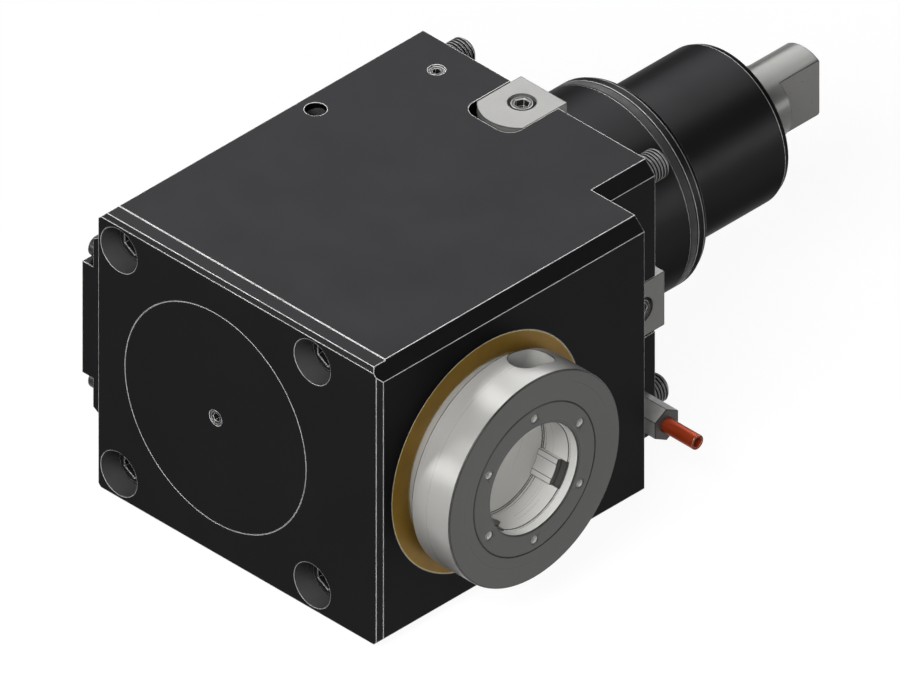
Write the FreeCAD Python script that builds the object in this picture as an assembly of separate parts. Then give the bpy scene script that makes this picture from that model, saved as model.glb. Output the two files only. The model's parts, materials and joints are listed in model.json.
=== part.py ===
import FreeCAD, Part
import os
from math import atan, cos, pi, radians, sin, sqrt, tan

# Radial driven tool holder for a lathe turret.
# The origin is on the shank axis, in the mounting face. +Y runs along the shank
# into the turret, +X is the way the tool points and +Z is up. Millimetres.
V = FreeCAD.Vector

# Housing block and mounting flange
BLOCK_HALF = 62.5          # half width and half height of flange and block
SPINDLE_Y = -110.0         # spindle axis, in front of the mounting face
FRONT_DEPTH = 55.0         # from the spindle axis to the front face
STEP_Y = -28.0             # where the block ends and the square flange begins
EDGE_CHAMFER = 5.0         # long edges
FRONT_CHAMFER = 1.9        # edges round the front face
TOP_RELIEF_LENGTH = 7.7    # lowered strip along the top front edge
TOP_RELIEF_DEPTH = 0.3

# Boss and shank
BOSS_R = 42.5
BOSS_LENGTH = 47.5
BOSS_LEAD = (2.0, 1.0)     # lead chamfer, length and height
SHANK_R = 32.5
SHANK_END_Y = 100.0
SHANK_LEAD = (2.6, 1.0)
BOSS_GROOVE_Y = 38.5
BOSS_GROOVE_WIDTH = 4.0
BOSS_GROOVE_DEPTH = 2.3

# Mounting screws, four at the corners of a square
SCREW_INSET = 12.5         # from the sides of the flange
SCREW_R = 6.0
SCREW_CLEAR_R = 7.25
SCREW_HEAD_R = 9.0
SCREW_COUNTERBORE_R = 9.35
SCREW_SEAT_DEPTH = 20.0
SCREW_HEAD_HEIGHT = 12.0
SCREW_STAND_OUT = 15.0     # past the mounting face
SCREW_HEX = 10.0
SCREW_HEX_DEPTH = 6.0
SCREW_POINT = 1.2

# Spindle, across the shank axis
COLLAR_R = 44.15
COLLAR_LENGTH = 25.0       # from the block to the collar's face
NECK_R = 39.6              # between the block and the collar's back
NECK_LENGTH = 5.3
NECK_SUNK = 2.6            # inside the gland ring
COLLAR_CHAMFER = 0.4
SEAL_LAND_R = 36.0
SPINDLE_REAR_R = 17.5
SPINDLE_THREAD_R = 15.0
SPINDLE_THREAD_RUNOUT = 1.0  # past the lock nut

# Tool socket in the spindle nose
SOCKET_R = 22.0
SOCKET_BACK_R = 21.7
SOCKET_DEPTH = 38.0
SOCKET_GROOVE_DEEP = 17.6  # from the nose face to the groove
SOCKET_GROOVE_WIDTH = 1.5
SOCKET_GROOVE_DEPTH = 0.6
FACE_RING_R = 31.5
FACE_RING_BORE_R = 22.65
FACE_RING_THICKNESS = 4.3
FACE_RING_CHAMFER = 0.35
FACE_HOLES = 6
FACE_HOLE_PCD = 54.2
FACE_HOLE_R = 1.65
DOG_ANGLES = (-27.5, 152.5, 225.0)
DOG_LENGTH = 10.4
DOG_WIDTH = 10.3
DOG_FLAT_R = 19.6          # distance of the flats from the spindle axis
DOG_HOLLOW_R = 20.0        # distance of the hollowed middle from the axis
DOG_HOLLOW_WIDTH = 5.9
DOG_SEAT_R = 26.0
CLAMP_ANGLE = 75.0
CLAMP_DEEP = 12.9          # from the nose face to the clamp screw
CLAMP_ACCESS_R = 6.0       # ends of the long pocket over it
CLAMP_ACCESS_SPREAD = 4.0  # from the screw to the middle of each end
CLAMP_ACCESS_FLOOR_R = 31.0
CLAMP_SCREW_R = 5.0
CLAMP_TIP_R = 23.2
CLAMP_SCREW_LENGTH = 10.0
CLAMP_HEX = 5.0

# Bevel gear pair, one to one, with the apex where the two axes cross
GEAR_MODULE = 3.0
GEAR_TEETH = 24
GEAR_FACE = 16.0
GEAR_PRESSURE = 20.0
GEAR_BACKLASH = 0.14
GEAR_HUB_R = 27.5
GEAR_RIM_DEPTH = 8.0       # depth of the conical back behind the teeth
GEAR_FRONT_HUB_R = 22.5
SPINDLE_GEAR_BORE_R = 19.0
SPINDLE_GEAR_BACK = 46.0   # from the apex to the back of the hub
PINION_BORE_R = 14.0
PINION_BACK = 48.0

# Hollows in the housing
CAVITY_CLEARANCE = 4.0     # round the gears' pitch circle
REAR_WEB = 5.0             # wall in front of the rear spindle bearing
WEB_HOLE_R = 27.0
SHAFT_BORE_R = 22.0
NUT_BORE_R = 30.5
NUT_BORE_LENGTH = 13.0

# Front cap
CAP_R = 46.85
CAP_THICKNESS = 12.0
CAP_SPIGOT = 2.4
CAP_SPIGOT_WALL = 6.0
CAP_DISH = 2.0             # hollow of the cap's back, past its seat
CAP_GROOVE_INSET = 6.5     # from the front face
CAP_GROOVE_WIDTH = 2.6
CAP_GROOVE_DEPTH = 2.0
CAP_SCREW_R = 3.0
CAP_SCREW_LENGTH = 8.0
CAP_SCREW_HEX = 3.0
CAP_SCREW_SUNK = 0.5
CAP_MOUTH_R = 3.2          # sink round the set screw
CAP_MOUTH_DEPTH = 0.8

# Bearings: bore radius, outer radius, width, roller diameter, roller length,
# tilt of the roller axis in degrees, number of rollers
SHAFT_FRONT_BEARING = dict(bore=20.0, outer=40.0, width=18.0, roller=9.0,
                           length=11.0, tilt=13.0, count=14)
SHAFT_REAR_BEARING = dict(bore=15.0, outer=27.5, width=14.0, roller=6.0,
                          length=9.0, tilt=0.0, count=14)
SPINDLE_FRONT_BEARING = dict(bore=32.5, outer=42.5, width=10.0, roller=4.4,
                             length=6.0, tilt=11.0, count=20)
SPINDLE_REAR_BEARING = dict(bore=SPINDLE_REAR_R, outer=31.0, width=14.0, roller=7.0,
                            length=9.0, tilt=0.0, count=14)
RACE_CLEARANCE = 0.03
END_CLEARANCE = 0.2
CAGE_CLEARANCE = 0.15
CAGE_THICKNESS = 0.3       # share of the roller diameter
SHAFT_REAR_INSET = 22.0    # from the shank's end to the bearing in it
SPINDLE_PAIR_GAP = 4.5     # from the spindle gear to the ring nut behind the front bearings
SPINDLE_REAR_GAP = 3.0     # from the pitch circle to the rear spindle bearing

# Drive shaft
SHAFT_BODY_R = 18.0
TANG_R = 14.5
TANG_SHOULDER = 19.0       # from the shank's end to the shoulder of the tang
TANG_LENGTH = 20.7
TANG_THICKNESS = 15.8
TANG_CHAMFER = 0.6
END_DISC_R = 18.0
END_DISC_THICKNESS = 4.0
END_SCREW_R = 4.0
END_SCREW_HEAD_R = 7.5
END_SCREW_LENGTH = 20.0
END_SCREW_HEX = 5.0
END_SCREW_HEX_DEPTH = 3.0
SHAFT_END_GAP = 0.5        # the end disc clears the shaft and clamps the pinion

# Nuts, washers and rings
LOCK_WASHER = 1.2
SHAFT_NUT_R = 29.0
SHAFT_NUT_WIDTH = 8.5
SPINDLE_NUT_R = 22.5
SPINDLE_NUT_WIDTH = 6.8
SPINDLE_RING_NUT_R = 38.0
SPINDLE_RING_NUT_WIDTH = 8.0
CUP_NUT_WIDTH = 5.0
CUP_NUT_BORE_R = 31.5
NUT_SLOTS = 4
NUT_SLOT = 5.0
CIRCLIP_THICKNESS = 1.5
BORE_CLIP_DEPTH = 1.2      # groove in the bore
BORE_CLIP_WALL = 3.6
BORE_CLIP_GAP = 6.0
SHAFT_CLIP_DEPTH = 0.6     # groove in the shaft
SHAFT_CLIP_WALL = 2.8
SHAFT_CLIP_GAP = 4.0
SHAFT_SEAL_WIDTH = 5.0
RUNNING_FIT = 0.05
BODY_GAP = 0.3

# Bearing gland round the spindle nose
GLAND_THICKNESS = 5.5
GLAND_WALL = 8.83
GLAND_CLEARANCE = 0.4      # round the neck
GLAND_SHOULDER = 6.5       # from the block's side to the front bearings
GLAND_SEAL_POCKET_R = 40.0
GLAND_LIP_R = 37.2
GLAND_LIP = 0.5

# Rear cover
COVER_THICKNESS = 12.0
COVER_HALF_Y = 43.9
COVER_INSET_Z = 24.9       # from the top and the bottom of the block
COVER_CHAMFER = (5.0, 3.0)  # along X and along Z
COVER_PAD = 5.5
COVER_PAD_HALF_Z = 25.0
COVER_SPIGOT_BORE_R = 26.0
COVER_RECESS = 4.0         # past the end of the spindle
COVER_GROOVE_WIDTH = 2.5
COVER_GROOVE_DEPTH = 1.6
COVER_SCREW_Y = 37.7
COVER_SCREW_Z = 29.5
COVER_SCREW_R = 2.5
COVER_HEAD_R = 4.25
COVER_HEAD_HEIGHT = 5.0
COVER_SCREW_GRIP = 12.0
COVER_SCREW_CLEARANCE = 0.25
COVER_HEX = 4.0
COVER_HEX_DEPTH = 2.6

# Locating keys, one in the middle of each side of the flange
KEY_WIDTH = 24.0
KEY_THICKNESS = 8.0
KEY_SUNK = 0.2
KEY_STAND_OUT = 5.0
KEY_STRAIGHT_Y = -17.8
KEY_TIP_Y = -23.4
KEY_POCKET_END_Y = -25.3
KEY_POCKET_SIDE = 0.3
KEY_POCKET_CORNER = 6.0
KEY_SCREW_Y = -6.5
KEY_COUNTERBORE_R = 5.3
KEY_COUNTERBORE = 6.4
KEY_SCREW_R = 3.0
KEY_HEAD_R = 4.9
KEY_HEAD_HEIGHT = 6.0
KEY_SCREW_GRIP = 10.0
KEY_HEX = 5.0
KEY_HEX_DEPTH = 3.0

# Small features of the top
PLUG_INSET, PLUG_Y = 26.2, -14.3
PLUG_HOLE_R = 3.3
PLUG_R = 3.0
PLUG_LENGTH = 8.0
PLUG_HEX = 3.0
PLUG_SUNK = 0.5
PLUG_MOUTH_DEPTH = 0.8
PLUG_DRILL_R = 2.5
PLUG_DRILL_DEPTH = 18.0
BLEED_Y = -63.2
BLEED_R = 4.17

# Coolant line
COOLANT_Y = -14.5
COOLANT_INSET = 25.7       # from the bottom of the flange
FITTING_HEX = 12.0
FITTING_LENGTH = 20.5
FITTING_STUB_R = 5.0
FITTING_STUB = 9.0
FITTING_BORE_R = 2.2
TUBE_R = 3.0
TUBE_BORE_R = 2.0
TUBE_STAND_OUT = 36.4      # from the side of the flange
TUBE_SEAT = 9.5
COOLANT_WASHER = 1.5
COOLANT_WASHER_R = 7.0
COOLANT_DRILL_R = 2.8
PORT_SEAL_R = 5.0
PORT_SEAL = 1.6

# Feather keys of the two gears
FEATHER_HALF_WIDTH = 3.0
FEATHER_IN_SHAFT = 3.5
FEATHER_IN_HUB = 2.5
PINION_KEY_LENGTH = 16.0
GEAR_KEY_LENGTH = 14.0
SLEEVE_WALL = 3.5

# Derived places on the shank axis
SPINDLE_AXIS_POINT = V(0, SPINDLE_Y, 0)
FRONT_Y = SPINDLE_Y - FRONT_DEPTH
PINION_BACK_Y = SPINDLE_Y + PINION_BACK
SHAFT_PAIR_END_Y = PINION_BACK_Y + 2 * SHAFT_FRONT_BEARING["width"]
NUT_BORE_END_Y = SHAFT_PAIR_END_Y + NUT_BORE_LENGTH
SHAFT_REAR_Y = SHANK_END_Y - SHAFT_REAR_INSET
SHAFT_REAR_END_Y = SHAFT_REAR_Y + SHAFT_REAR_BEARING["width"]
TANG_START_Y = SHANK_END_Y + TANG_SHOULDER
TANG_END_Y = TANG_START_Y + TANG_LENGTH
CAP_SEAT_Y = FRONT_Y + CAP_THICKNESS
CAP_GROOVE_Y = FRONT_Y + CAP_GROOVE_INSET
SCREW_SEAT_Y = FRONT_Y + SCREW_SEAT_DEPTH
SCREW_LENGTH = SCREW_STAND_OUT - SCREW_SEAT_Y
SCREW_PLACE = BLOCK_HALF - SCREW_INSET

# Derived sizes of the gears
GEAR_PITCH_R = GEAR_MODULE * GEAR_TEETH / 2
GEAR_OUTER_CONE = GEAR_PITCH_R * sqrt(2)
GEAR_INNER_CONE = GEAR_OUTER_CONE - GEAR_FACE
CAVITY_R = GEAR_PITCH_R + CAVITY_CLEARANCE

# Derived places on the spindle axis
SPINDLE_PAIR_X = SPINDLE_GEAR_BACK + SPINDLE_PAIR_GAP + SPINDLE_RING_NUT_WIDTH
SPINDLE_FRONT_X = SPINDLE_PAIR_X + 2 * SPINDLE_FRONT_BEARING["width"]
SPINDLE_REAR_X = -GEAR_PITCH_R - SPINDLE_REAR_GAP
SPINDLE_REAR_END_X = SPINDLE_REAR_X - SPINDLE_REAR_BEARING["width"]
SPINDLE_END_X = SPINDLE_REAR_END_X - LOCK_WASHER - SPINDLE_NUT_WIDTH - SPINDLE_THREAD_RUNOUT
CAVITY_REAR_X = SPINDLE_REAR_X + REAR_WEB
NOSE_FACE_X = SPINDLE_FRONT_X + GLAND_SHOULDER
COLLAR_FACE_X = NOSE_FACE_X + COLLAR_LENGTH
COLLAR_BACK_X = NOSE_FACE_X + NECK_LENGTH
NECK_END_X = NOSE_FACE_X - NECK_SUNK
SOCKET_FLOOR_X = COLLAR_FACE_X - SOCKET_DEPTH
SOCKET_GROOVE_X = COLLAR_FACE_X - SOCKET_GROOVE_DEEP
CLAMP_X = COLLAR_FACE_X - CLAMP_DEEP
FACE_RING_BACK_X = COLLAR_FACE_X - FACE_RING_THICKNESS
GLAND_SEAT_X = NOSE_FACE_X - GLAND_THICKNESS
GLAND_LAND_R = NECK_R + GLAND_CLEARANCE
GLAND_R = GLAND_LAND_R + GLAND_WALL

# Derived places on the sides of the block
COVER_X = -BLOCK_HALF - COVER_THICKNESS
COVER_HALF_Z = BLOCK_HALF - COVER_INSET_Z
COOLANT_Z = COOLANT_INSET - BLOCK_HALF
PORT_X = SCREW_PLACE
FITTING_FACE_X = BLOCK_HALF + FITTING_LENGTH
TUBE_SEAT_X = BLOCK_HALF + TUBE_SEAT
TUBE_END_X = BLOCK_HALF + TUBE_STAND_OUT
PLUG_X = PLUG_INSET - BLOCK_HALF
BLEED_X = -SCREW_PLACE
KEY_FLOOR = BLOCK_HALF - KEY_SUNK - KEY_THICKNESS
CORNERS = [(sx, sz) for sx in (-1, 1) for sz in (-1, 1)]


def box(x0, x1, y0, y1, z0, z1):
    return Part.makeBox(x1 - x0, y1 - y0, z1 - z0, V(x0, y0, z0))


def rod(r, start, end):
    """A cylinder from one point to another."""
    start, end = V(*start), V(*end)
    return Part.makeCylinder(r, (end - start).Length, start, end - start)


def tube(outer, inner, start, end):
    return rod(outer, start, end).cut(rod(inner, start, end))


def face_of(points):
    return Part.Face(Part.makePolygon([V(*p) for p in points] + [V(*points[0])]))


def turned(profile):
    """A solid turned about +Z from (along the axis, radius) points."""
    return face_of([(r, 0, a) for a, r in profile]).revolve(V(0, 0, 0), V(0, 0, 1), 360)


def placed(shape, place):
    shape = shape.copy()
    shape.Placement = place.multiply(shape.Placement)
    return shape


def on_shaft(shape, y=0.0, way=1):
    """Lays a part made about +Z on the shank axis, pointing to +Y or -Y."""
    place = FreeCAD.Placement(V(0, y, 0), FreeCAD.Rotation(V(0, 0, 1), V(0, way, 0)))
    return placed(shape, place)


def on_spindle(shape, x=0.0, way=1):
    """Lays a part made about +Z on the spindle axis, pointing to +X or -X."""
    place = FreeCAD.Placement(V(x, SPINDLE_Y, 0), FreeCAD.Rotation(V(0, 0, 1), V(way, 0, 0)))
    return placed(shape, place)


def shaft_turned(profile):
    return on_shaft(turned(profile))


def spindle_turned(profile):
    return on_spindle(turned(profile))


def spindle_point(x, r, angle):
    """A point at a radius and an angle, from +Y towards +Z, about the spindle axis."""
    return (x, SPINDLE_Y + r * cos(radians(angle)), r * sin(radians(angle)))


def hexagon(across_flats, start, end, flat_towards):
    """A hexagonal prism with one pair of flats facing the given way."""
    start, end, flat = V(*start), V(*end), V(*flat_towards)
    axis = end - start
    corner = FreeCAD.Rotation(axis, 30).multVec(flat) * (across_flats / 2 / cos(pi / 6))
    turn = [FreeCAD.Rotation(axis, 60 * i).multVec(corner) for i in range(6)]
    ring = [tuple(start + t) for t in turn]
    return face_of(ring).extrude(axis)


def cap_screw(seat, way, r, head_r, head_height, length, hex_size, hex_depth, point=0.6):
    """A socket head screw: seat is the point under the head, way is where it points."""
    seat, way = V(*seat), V(*way)
    top = seat - way * head_height
    edge = 0.06 * head_r
    profile = [(-head_height, 0), (-head_height, head_r - edge), (-head_height + edge, head_r),
               (0, head_r), (0, r), (length - point, r), (length, r - point), (length, 0)]
    body = turned(profile)
    body.Placement = FreeCAD.Placement(seat, FreeCAD.Rotation(V(0, 0, 1), way))
    side = V(0, 0, 1) if abs(way.z) < 0.5 else V(1, 0, 0)
    return body.cut(hexagon(hex_size, top, top + way * hex_depth, side))


def set_screw(top, way, r, length, hex_size):
    """A headless socket screw whose outer end is at top."""
    top, way = V(*top), V(*way)
    edge = 0.12 * r
    profile = [(0, 0), (0, r - edge), (edge, r), (length - edge, r), (length, r - edge), (length, 0)]
    body = turned(profile)
    body.Placement = FreeCAD.Placement(top, FreeCAD.Rotation(V(0, 0, 1), way))
    side = V(0, 0, 1) if abs(way.z) < 0.5 else V(1, 0, 0)
    return body.cut(hexagon(hex_size, top, top + way * (0.5 * length), side))


def o_ring(groove_r, outer_r, width):
    """A ring of rubber as squeezed in its groove, about +Z and centred on the origin."""
    half, soft = width / 2, 0.25 * (outer_r - groove_r)
    return turned([(-half, groove_r), (half, groove_r), (half, outer_r - soft),
                   (half - soft, outer_r), (-half + soft, outer_r), (-half, outer_r - soft)])


def slotted_nut(bore, outer, width, slots=NUT_SLOTS, slot=NUT_SLOT):
    """A round lock nut about +Z from z 0 to its width, with spanner slots in its rim."""
    edge = 0.8
    nut = turned([(0, bore), (0, outer), (width - edge, outer), (width, outer - edge), (width, bore)])
    depth = 0.3 * (outer - bore)
    for i in range(slots):
        cutter = box(outer - depth, outer + 1, -slot / 2, slot / 2, -1, width + 1)
        cutter.rotate(V(0, 0, 0), V(0, 0, 1), 360 / slots * i)
        nut = nut.cut(cutter)
    return nut


class RollerBearing:
    """A roller bearing about +Z, centred on the origin, with its wide end towards +Z."""

    def __init__(self, bore, outer, width, roller, length, tilt, count):
        self.bore, self.outer, self.width = bore, outer, width
        self.pitch = (bore + outer) / 2
        self.roller, self.length, self.count = roller, length, count
        self.tilt = radians(tilt)
        self.taper = atan(roller / 2 * sin(self.tilt) / self.pitch)
        self.reach = roller / 2 * cos(self.taper)
        # furthest that a roller's corners lie from the centre, along the axis
        self.half = length / 2 * cos(self.tilt) + roller / 2 * sin(self.tilt)

    def inner_track(self, z):
        slope = self.tilt - self.taper
        at = self.pitch - self.reach * cos(slope) + (z - self.reach * sin(slope)) * tan(slope)
        return at - RACE_CLEARANCE

    def outer_track(self, z):
        slope = self.tilt + self.taper
        at = self.pitch + self.reach * cos(slope) + (z + self.reach * sin(slope)) * tan(slope)
        return at + RACE_CLEARANCE

    def axis_r(self, z):
        return self.pitch + z * tan(self.tilt)

    def inner_ring(self):
        w, end = self.width / 2, self.half + END_CLEARANCE
        rib = 0.24 * self.roller
        low, high = self.inner_track(-end), self.inner_track(end)
        return turned([(-w, self.bore), (-w, low + rib), (-end, low + rib), (-end, low),
                       (end, high), (end, high + rib), (w, high + rib), (w, self.bore)])

    def outer_ring(self):
        w = self.width / 2
        return turned([(-w, self.outer), (-w, self.outer_track(-w)),
                       (w, self.outer_track(w)), (w, self.outer)])

    def roller_at(self, angle, grow=0.0):
        half = self.length / 2 + grow
        direction = V(sin(self.tilt), 0, cos(self.tilt))
        start = V(self.pitch, 0, 0) - direction * half
        slope = tan(self.taper)
        small = self.roller / 2 - half * slope + grow
        large = self.roller / 2 + half * slope + grow
        if abs(large - small) < 1e-6:
            shape = Part.makeCylinder(small, 2 * half, start, direction)
        else:
            shape = Part.makeCone(small, large, 2 * half, start, direction)
        shape.rotate(V(0, 0, 0), V(0, 0, 1), angle)
        return shape

    def rollers(self):
        return [self.roller_at(360 / self.count * i) for i in range(self.count)]

    def cage(self):
        """A ring with a window for each roller."""
        end = min(self.half + 0.9, self.width / 2 - 0.3)
        thick = CAGE_THICKNESS * self.roller / 2
        ring = turned([(-end, self.axis_r(-end) - thick), (-end, self.axis_r(-end) + thick),
                       (end, self.axis_r(end) + thick), (end, self.axis_r(end) - thick)])
        windows = [self.roller_at(360 / self.count * i, CAGE_CLEARANCE) for i in range(self.count)]
        return ring.cut(Part.makeCompound(windows))


class BevelGear:
    """A straight bevel gear for crossed axes, with its apex at the origin, opening to +Z."""

    def __init__(self, bore, back, first_tooth):
        self.bore, self.back, self.first_tooth = bore, back, first_tooth

    def flank_angle(self, slant):
        """Half of the tooth's angle about the axis, at a distance along the back cone."""
        pitch = GEAR_OUTER_CONE
        base = pitch * cos(radians(GEAR_PRESSURE))
        half = (pi * GEAR_MODULE / 2 - GEAR_BACKLASH) / (2 * pitch)
        at_pitch = tan(radians(GEAR_PRESSURE)) - radians(GEAR_PRESSURE)
        rolled = sqrt(max(slant / base, 1.0) ** 2 - 1)
        return (half + at_pitch - (rolled - atan(rolled))) * sqrt(2)

    def flank(self):
        """Points from root to past the tip, as (slope from the axis, half angle of the tooth)."""
        root, tip = GEAR_OUTER_CONE - 1.25 * GEAR_MODULE, GEAR_OUTER_CONE + 1.15 * GEAR_MODULE
        points = []
        for i in range(5):
            slant = root + (tip - root) * i / 4
            r = slant / sqrt(2)
            points.append((r / (2 * GEAR_PITCH_R - r), self.flank_angle(slant)))
        return points

    def space_section(self, z):
        """The outline of one tooth space in the plane at a height above the apex."""
        half_pitch = pi / GEAR_TEETH
        side = [(z * slope, half_pitch - angle) for slope, angle in self.flank()]
        left = [V(r * cos(a), r * sin(a), z) for r, a in side]
        right = [V(r * cos(a), -r * sin(a), z) for r, a in side]
        rise, fall = Part.BSplineCurve(), Part.BSplineCurve()
        rise.interpolate(left)
        fall.interpolate(list(reversed(right)))
        edges = [rise.toShape(), Part.makeLine(left[-1], right[-1]),
                 fall.toShape(), Part.makeLine(right[0], left[0])]
        return Part.Wire(edges)

    def blank(self):
        """The turned body: tip cone, conical front and back, and the hub."""
        add = GEAR_MODULE / sqrt(2)
        shrink = GEAR_INNER_CONE / GEAR_OUTER_CONE
        large = (GEAR_PITCH_R - add, GEAR_PITCH_R + add)
        small = (large[0] * shrink, large[1] * shrink)
        front = small[0] + small[1] - GEAR_FRONT_HUB_R
        rim = (large[0] + GEAR_RIM_DEPTH, large[1] - GEAR_RIM_DEPTH)
        return turned([(front, self.bore), (front, GEAR_FRONT_HUB_R), small, large, rim,
                       (rim[0], GEAR_HUB_R), (self.back, GEAR_HUB_R), (self.back, self.bore)])

    def shape(self):
        low = 0.8 * GEAR_INNER_CONE / sqrt(2)
        high = 1.3 * GEAR_PITCH_R
        space = Part.makeLoft([self.space_section(low), self.space_section(high)], True, True)
        pitch_angle = 360 / GEAR_TEETH
        spaces = []
        for i in range(GEAR_TEETH):
            cutter = space.copy()
            turn = self.first_tooth + pitch_angle * (i + 0.5)
            cutter.rotate(V(0, 0, 0), V(0, 0, 1), turn)
            spaces.append(cutter)
        return self.blank().cut(Part.makeCompound(spaces))


def gear_front():
    """How far the flat front of a gear's hub lies from the apex."""
    return 2 * GEAR_PITCH_R * GEAR_INNER_CONE / GEAR_OUTER_CONE - GEAR_FRONT_HUB_R


def prism(half, chamfers, y0, y1, right):
    """A bar along Y with chamfered long edges, from -half to right and half high."""
    c = chamfers
    outline = [(-half + c, -half), (right - c, -half), (right, -half + c), (right, half - c),
               (right - c, half), (-half + c, half), (-half, half - c), (-half, -half + c)]
    return face_of([(x, y0, z) for x, z in outline]).extrude(V(0, y1 - y0, 0))


def key_outline(half, straight_y, tip_y, end_y, z):
    """A key seen from above: straight sides, a square rear end and a bowed front end."""
    a, b, c, d = V(half, end_y, z), V(half, straight_y, z), V(0, tip_y, z), V(-half, straight_y, z)
    e = V(-half, end_y, z)
    edges = [Part.makeLine(a, b), Part.Arc(b, c, d).toShape(), Part.makeLine(d, e), Part.makeLine(e, a)]
    return Part.Face(Part.Wire(edges))


def around_flange(shape, index):
    """Turns a part of the top side to the top, right, bottom or left."""
    shape = shape.copy()
    shape.rotate(V(0, 0, 0), V(0, 1, 0), 90 * index)
    return shape


def key_pocket():
    half = KEY_WIDTH / 2 + KEY_POCKET_SIDE
    pocket = box(-half, half, KEY_POCKET_END_Y, 1, KEY_FLOOR, BLOCK_HALF + 1)
    at_end = [e for e in pocket.Edges if e.BoundBox.YMax < KEY_POCKET_END_Y + 0.1]
    return pocket.makeFillet(KEY_POCKET_CORNER, [e for e in at_end if e.BoundBox.ZLength > 1])


def key_shape():
    face = key_outline(KEY_WIDTH / 2, KEY_STRAIGHT_Y, KEY_TIP_Y, KEY_STAND_OUT, KEY_FLOOR)
    key = face.extrude(V(0, 0, KEY_THICKNESS))
    top = KEY_FLOOR + KEY_THICKNESS
    at = (0, KEY_SCREW_Y)
    key = key.cut(rod(KEY_COUNTERBORE_R, (*at, top - KEY_COUNTERBORE), (*at, top + 1)))
    return key.cut(rod(KEY_SCREW_R, (*at, KEY_FLOOR - 1), (*at, top)))


def key_screw():
    seat = KEY_FLOOR + KEY_THICKNESS - KEY_COUNTERBORE
    grip = seat - KEY_FLOOR + KEY_SCREW_GRIP
    return cap_screw((0, KEY_SCREW_Y, seat), (0, 0, -1), KEY_SCREW_R, KEY_HEAD_R,
                     KEY_HEAD_HEIGHT, grip, KEY_HEX, KEY_HEX_DEPTH)


def key_screw_hole():
    return rod(KEY_SCREW_R, (0, KEY_SCREW_Y, KEY_FLOOR - KEY_SCREW_GRIP), (0, KEY_SCREW_Y, KEY_FLOOR + 1))


def block_and_flange():
    """The square block's front rim is chamfered first, and its long edges after that."""
    block = box(-BLOCK_HALF, NOSE_FACE_X, FRONT_Y, STEP_Y, -BLOCK_HALF, BLOCK_HALF)
    rim = [e for e in block.Edges if e.BoundBox.YMax < FRONT_Y + 0.01]
    block = block.makeChamfer(FRONT_CHAMFER, rim)
    block = block.common(prism(BLOCK_HALF, EDGE_CHAMFER, FRONT_Y, STEP_Y, NOSE_FACE_X))
    flange = prism(BLOCK_HALF, EDGE_CHAMFER, STEP_Y, 0, BLOCK_HALF)
    relief = box(-BLOCK_HALF - 1, NOSE_FACE_X + 1, FRONT_Y - 1, FRONT_Y + TOP_RELIEF_LENGTH,
                 BLOCK_HALF - TOP_RELIEF_DEPTH, BLOCK_HALF + 1)
    return block.cut(relief).fuse(flange)


def boss_and_shank():
    lead, height = BOSS_LEAD
    end_lead, end_height = SHANK_LEAD
    groove = BOSS_GROOVE_Y + BOSS_GROOVE_WIDTH
    floor = BOSS_R - BOSS_GROOVE_DEPTH
    return shaft_turned([
        (-1, 0), (-1, BOSS_R), (BOSS_GROOVE_Y, BOSS_R), (BOSS_GROOVE_Y, floor), (groove, floor),
        (groove, BOSS_R), (BOSS_LENGTH - lead, BOSS_R), (BOSS_LENGTH, BOSS_R - height),
        (BOSS_LENGTH, SHANK_R), (SHANK_END_Y - end_lead, SHANK_R),
        (SHANK_END_Y, SHANK_R - end_height), (SHANK_END_Y, 0)])


def shaft_hollow():
    """The hollow along the shank axis: cap seat, cavity, bearing seats and shaft bore."""
    front, rear = SHAFT_FRONT_BEARING["outer"], SHAFT_REAR_BEARING["outer"]
    seat_start = PINION_BACK_Y - CUP_NUT_WIDTH - 1
    return shaft_turned([
        (FRONT_Y - 1, 0), (FRONT_Y - 1, CAP_R), (CAP_SEAT_Y, CAP_R), (CAP_SEAT_Y, CAVITY_R),
        (seat_start, CAVITY_R), (seat_start, front), (SHAFT_PAIR_END_Y, front),
        (SHAFT_PAIR_END_Y, NUT_BORE_R), (NUT_BORE_END_Y, NUT_BORE_R),
        (NUT_BORE_END_Y, SHAFT_BORE_R), (SHAFT_REAR_Y, SHAFT_BORE_R), (SHAFT_REAR_Y, rear),
        (SHANK_END_Y + 1, rear), (SHANK_END_Y + 1, 0)])


def spindle_hollow():
    """The hollow across it: rear bearing seat, cavity, front bearing seat and gland seat."""
    front, rear = SPINDLE_FRONT_BEARING["outer"], SPINDLE_REAR_BEARING["outer"]
    return spindle_turned([
        (-BLOCK_HALF - 1, 0), (-BLOCK_HALF - 1, rear), (SPINDLE_REAR_X, rear),
        (SPINDLE_REAR_X, WEB_HOLE_R), (CAVITY_REAR_X, WEB_HOLE_R), (CAVITY_REAR_X, CAVITY_R),
        (SPINDLE_PAIR_X, CAVITY_R), (SPINDLE_PAIR_X, front), (GLAND_SEAT_X, front),
        (GLAND_SEAT_X, GLAND_R), (NOSE_FACE_X + 1, GLAND_R), (NOSE_FACE_X + 1, 0)])


def circlip_groove():
    bore = SHAFT_REAR_BEARING["outer"]
    return tube(bore + BORE_CLIP_DEPTH, bore - 1, (0, SHAFT_REAR_END_Y, 0),
                (0, SHAFT_REAR_END_Y + CIRCLIP_THICKNESS, 0))


def screw_holes():
    holes = []
    for sx, sz in CORNERS:
        x, z = sx * SCREW_PLACE, sz * SCREW_PLACE
        holes.append(rod(SCREW_COUNTERBORE_R, (x, FRONT_Y - 1, z), (x, SCREW_SEAT_Y, z)))
        holes.append(rod(SCREW_CLEAR_R, (x, SCREW_SEAT_Y, z), (x, 1, z)))
    return holes


def cover_screw_places():
    return [(SPINDLE_Y + sy * COVER_SCREW_Y, sz * COVER_SCREW_Z) for sy, sz in CORNERS]


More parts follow.
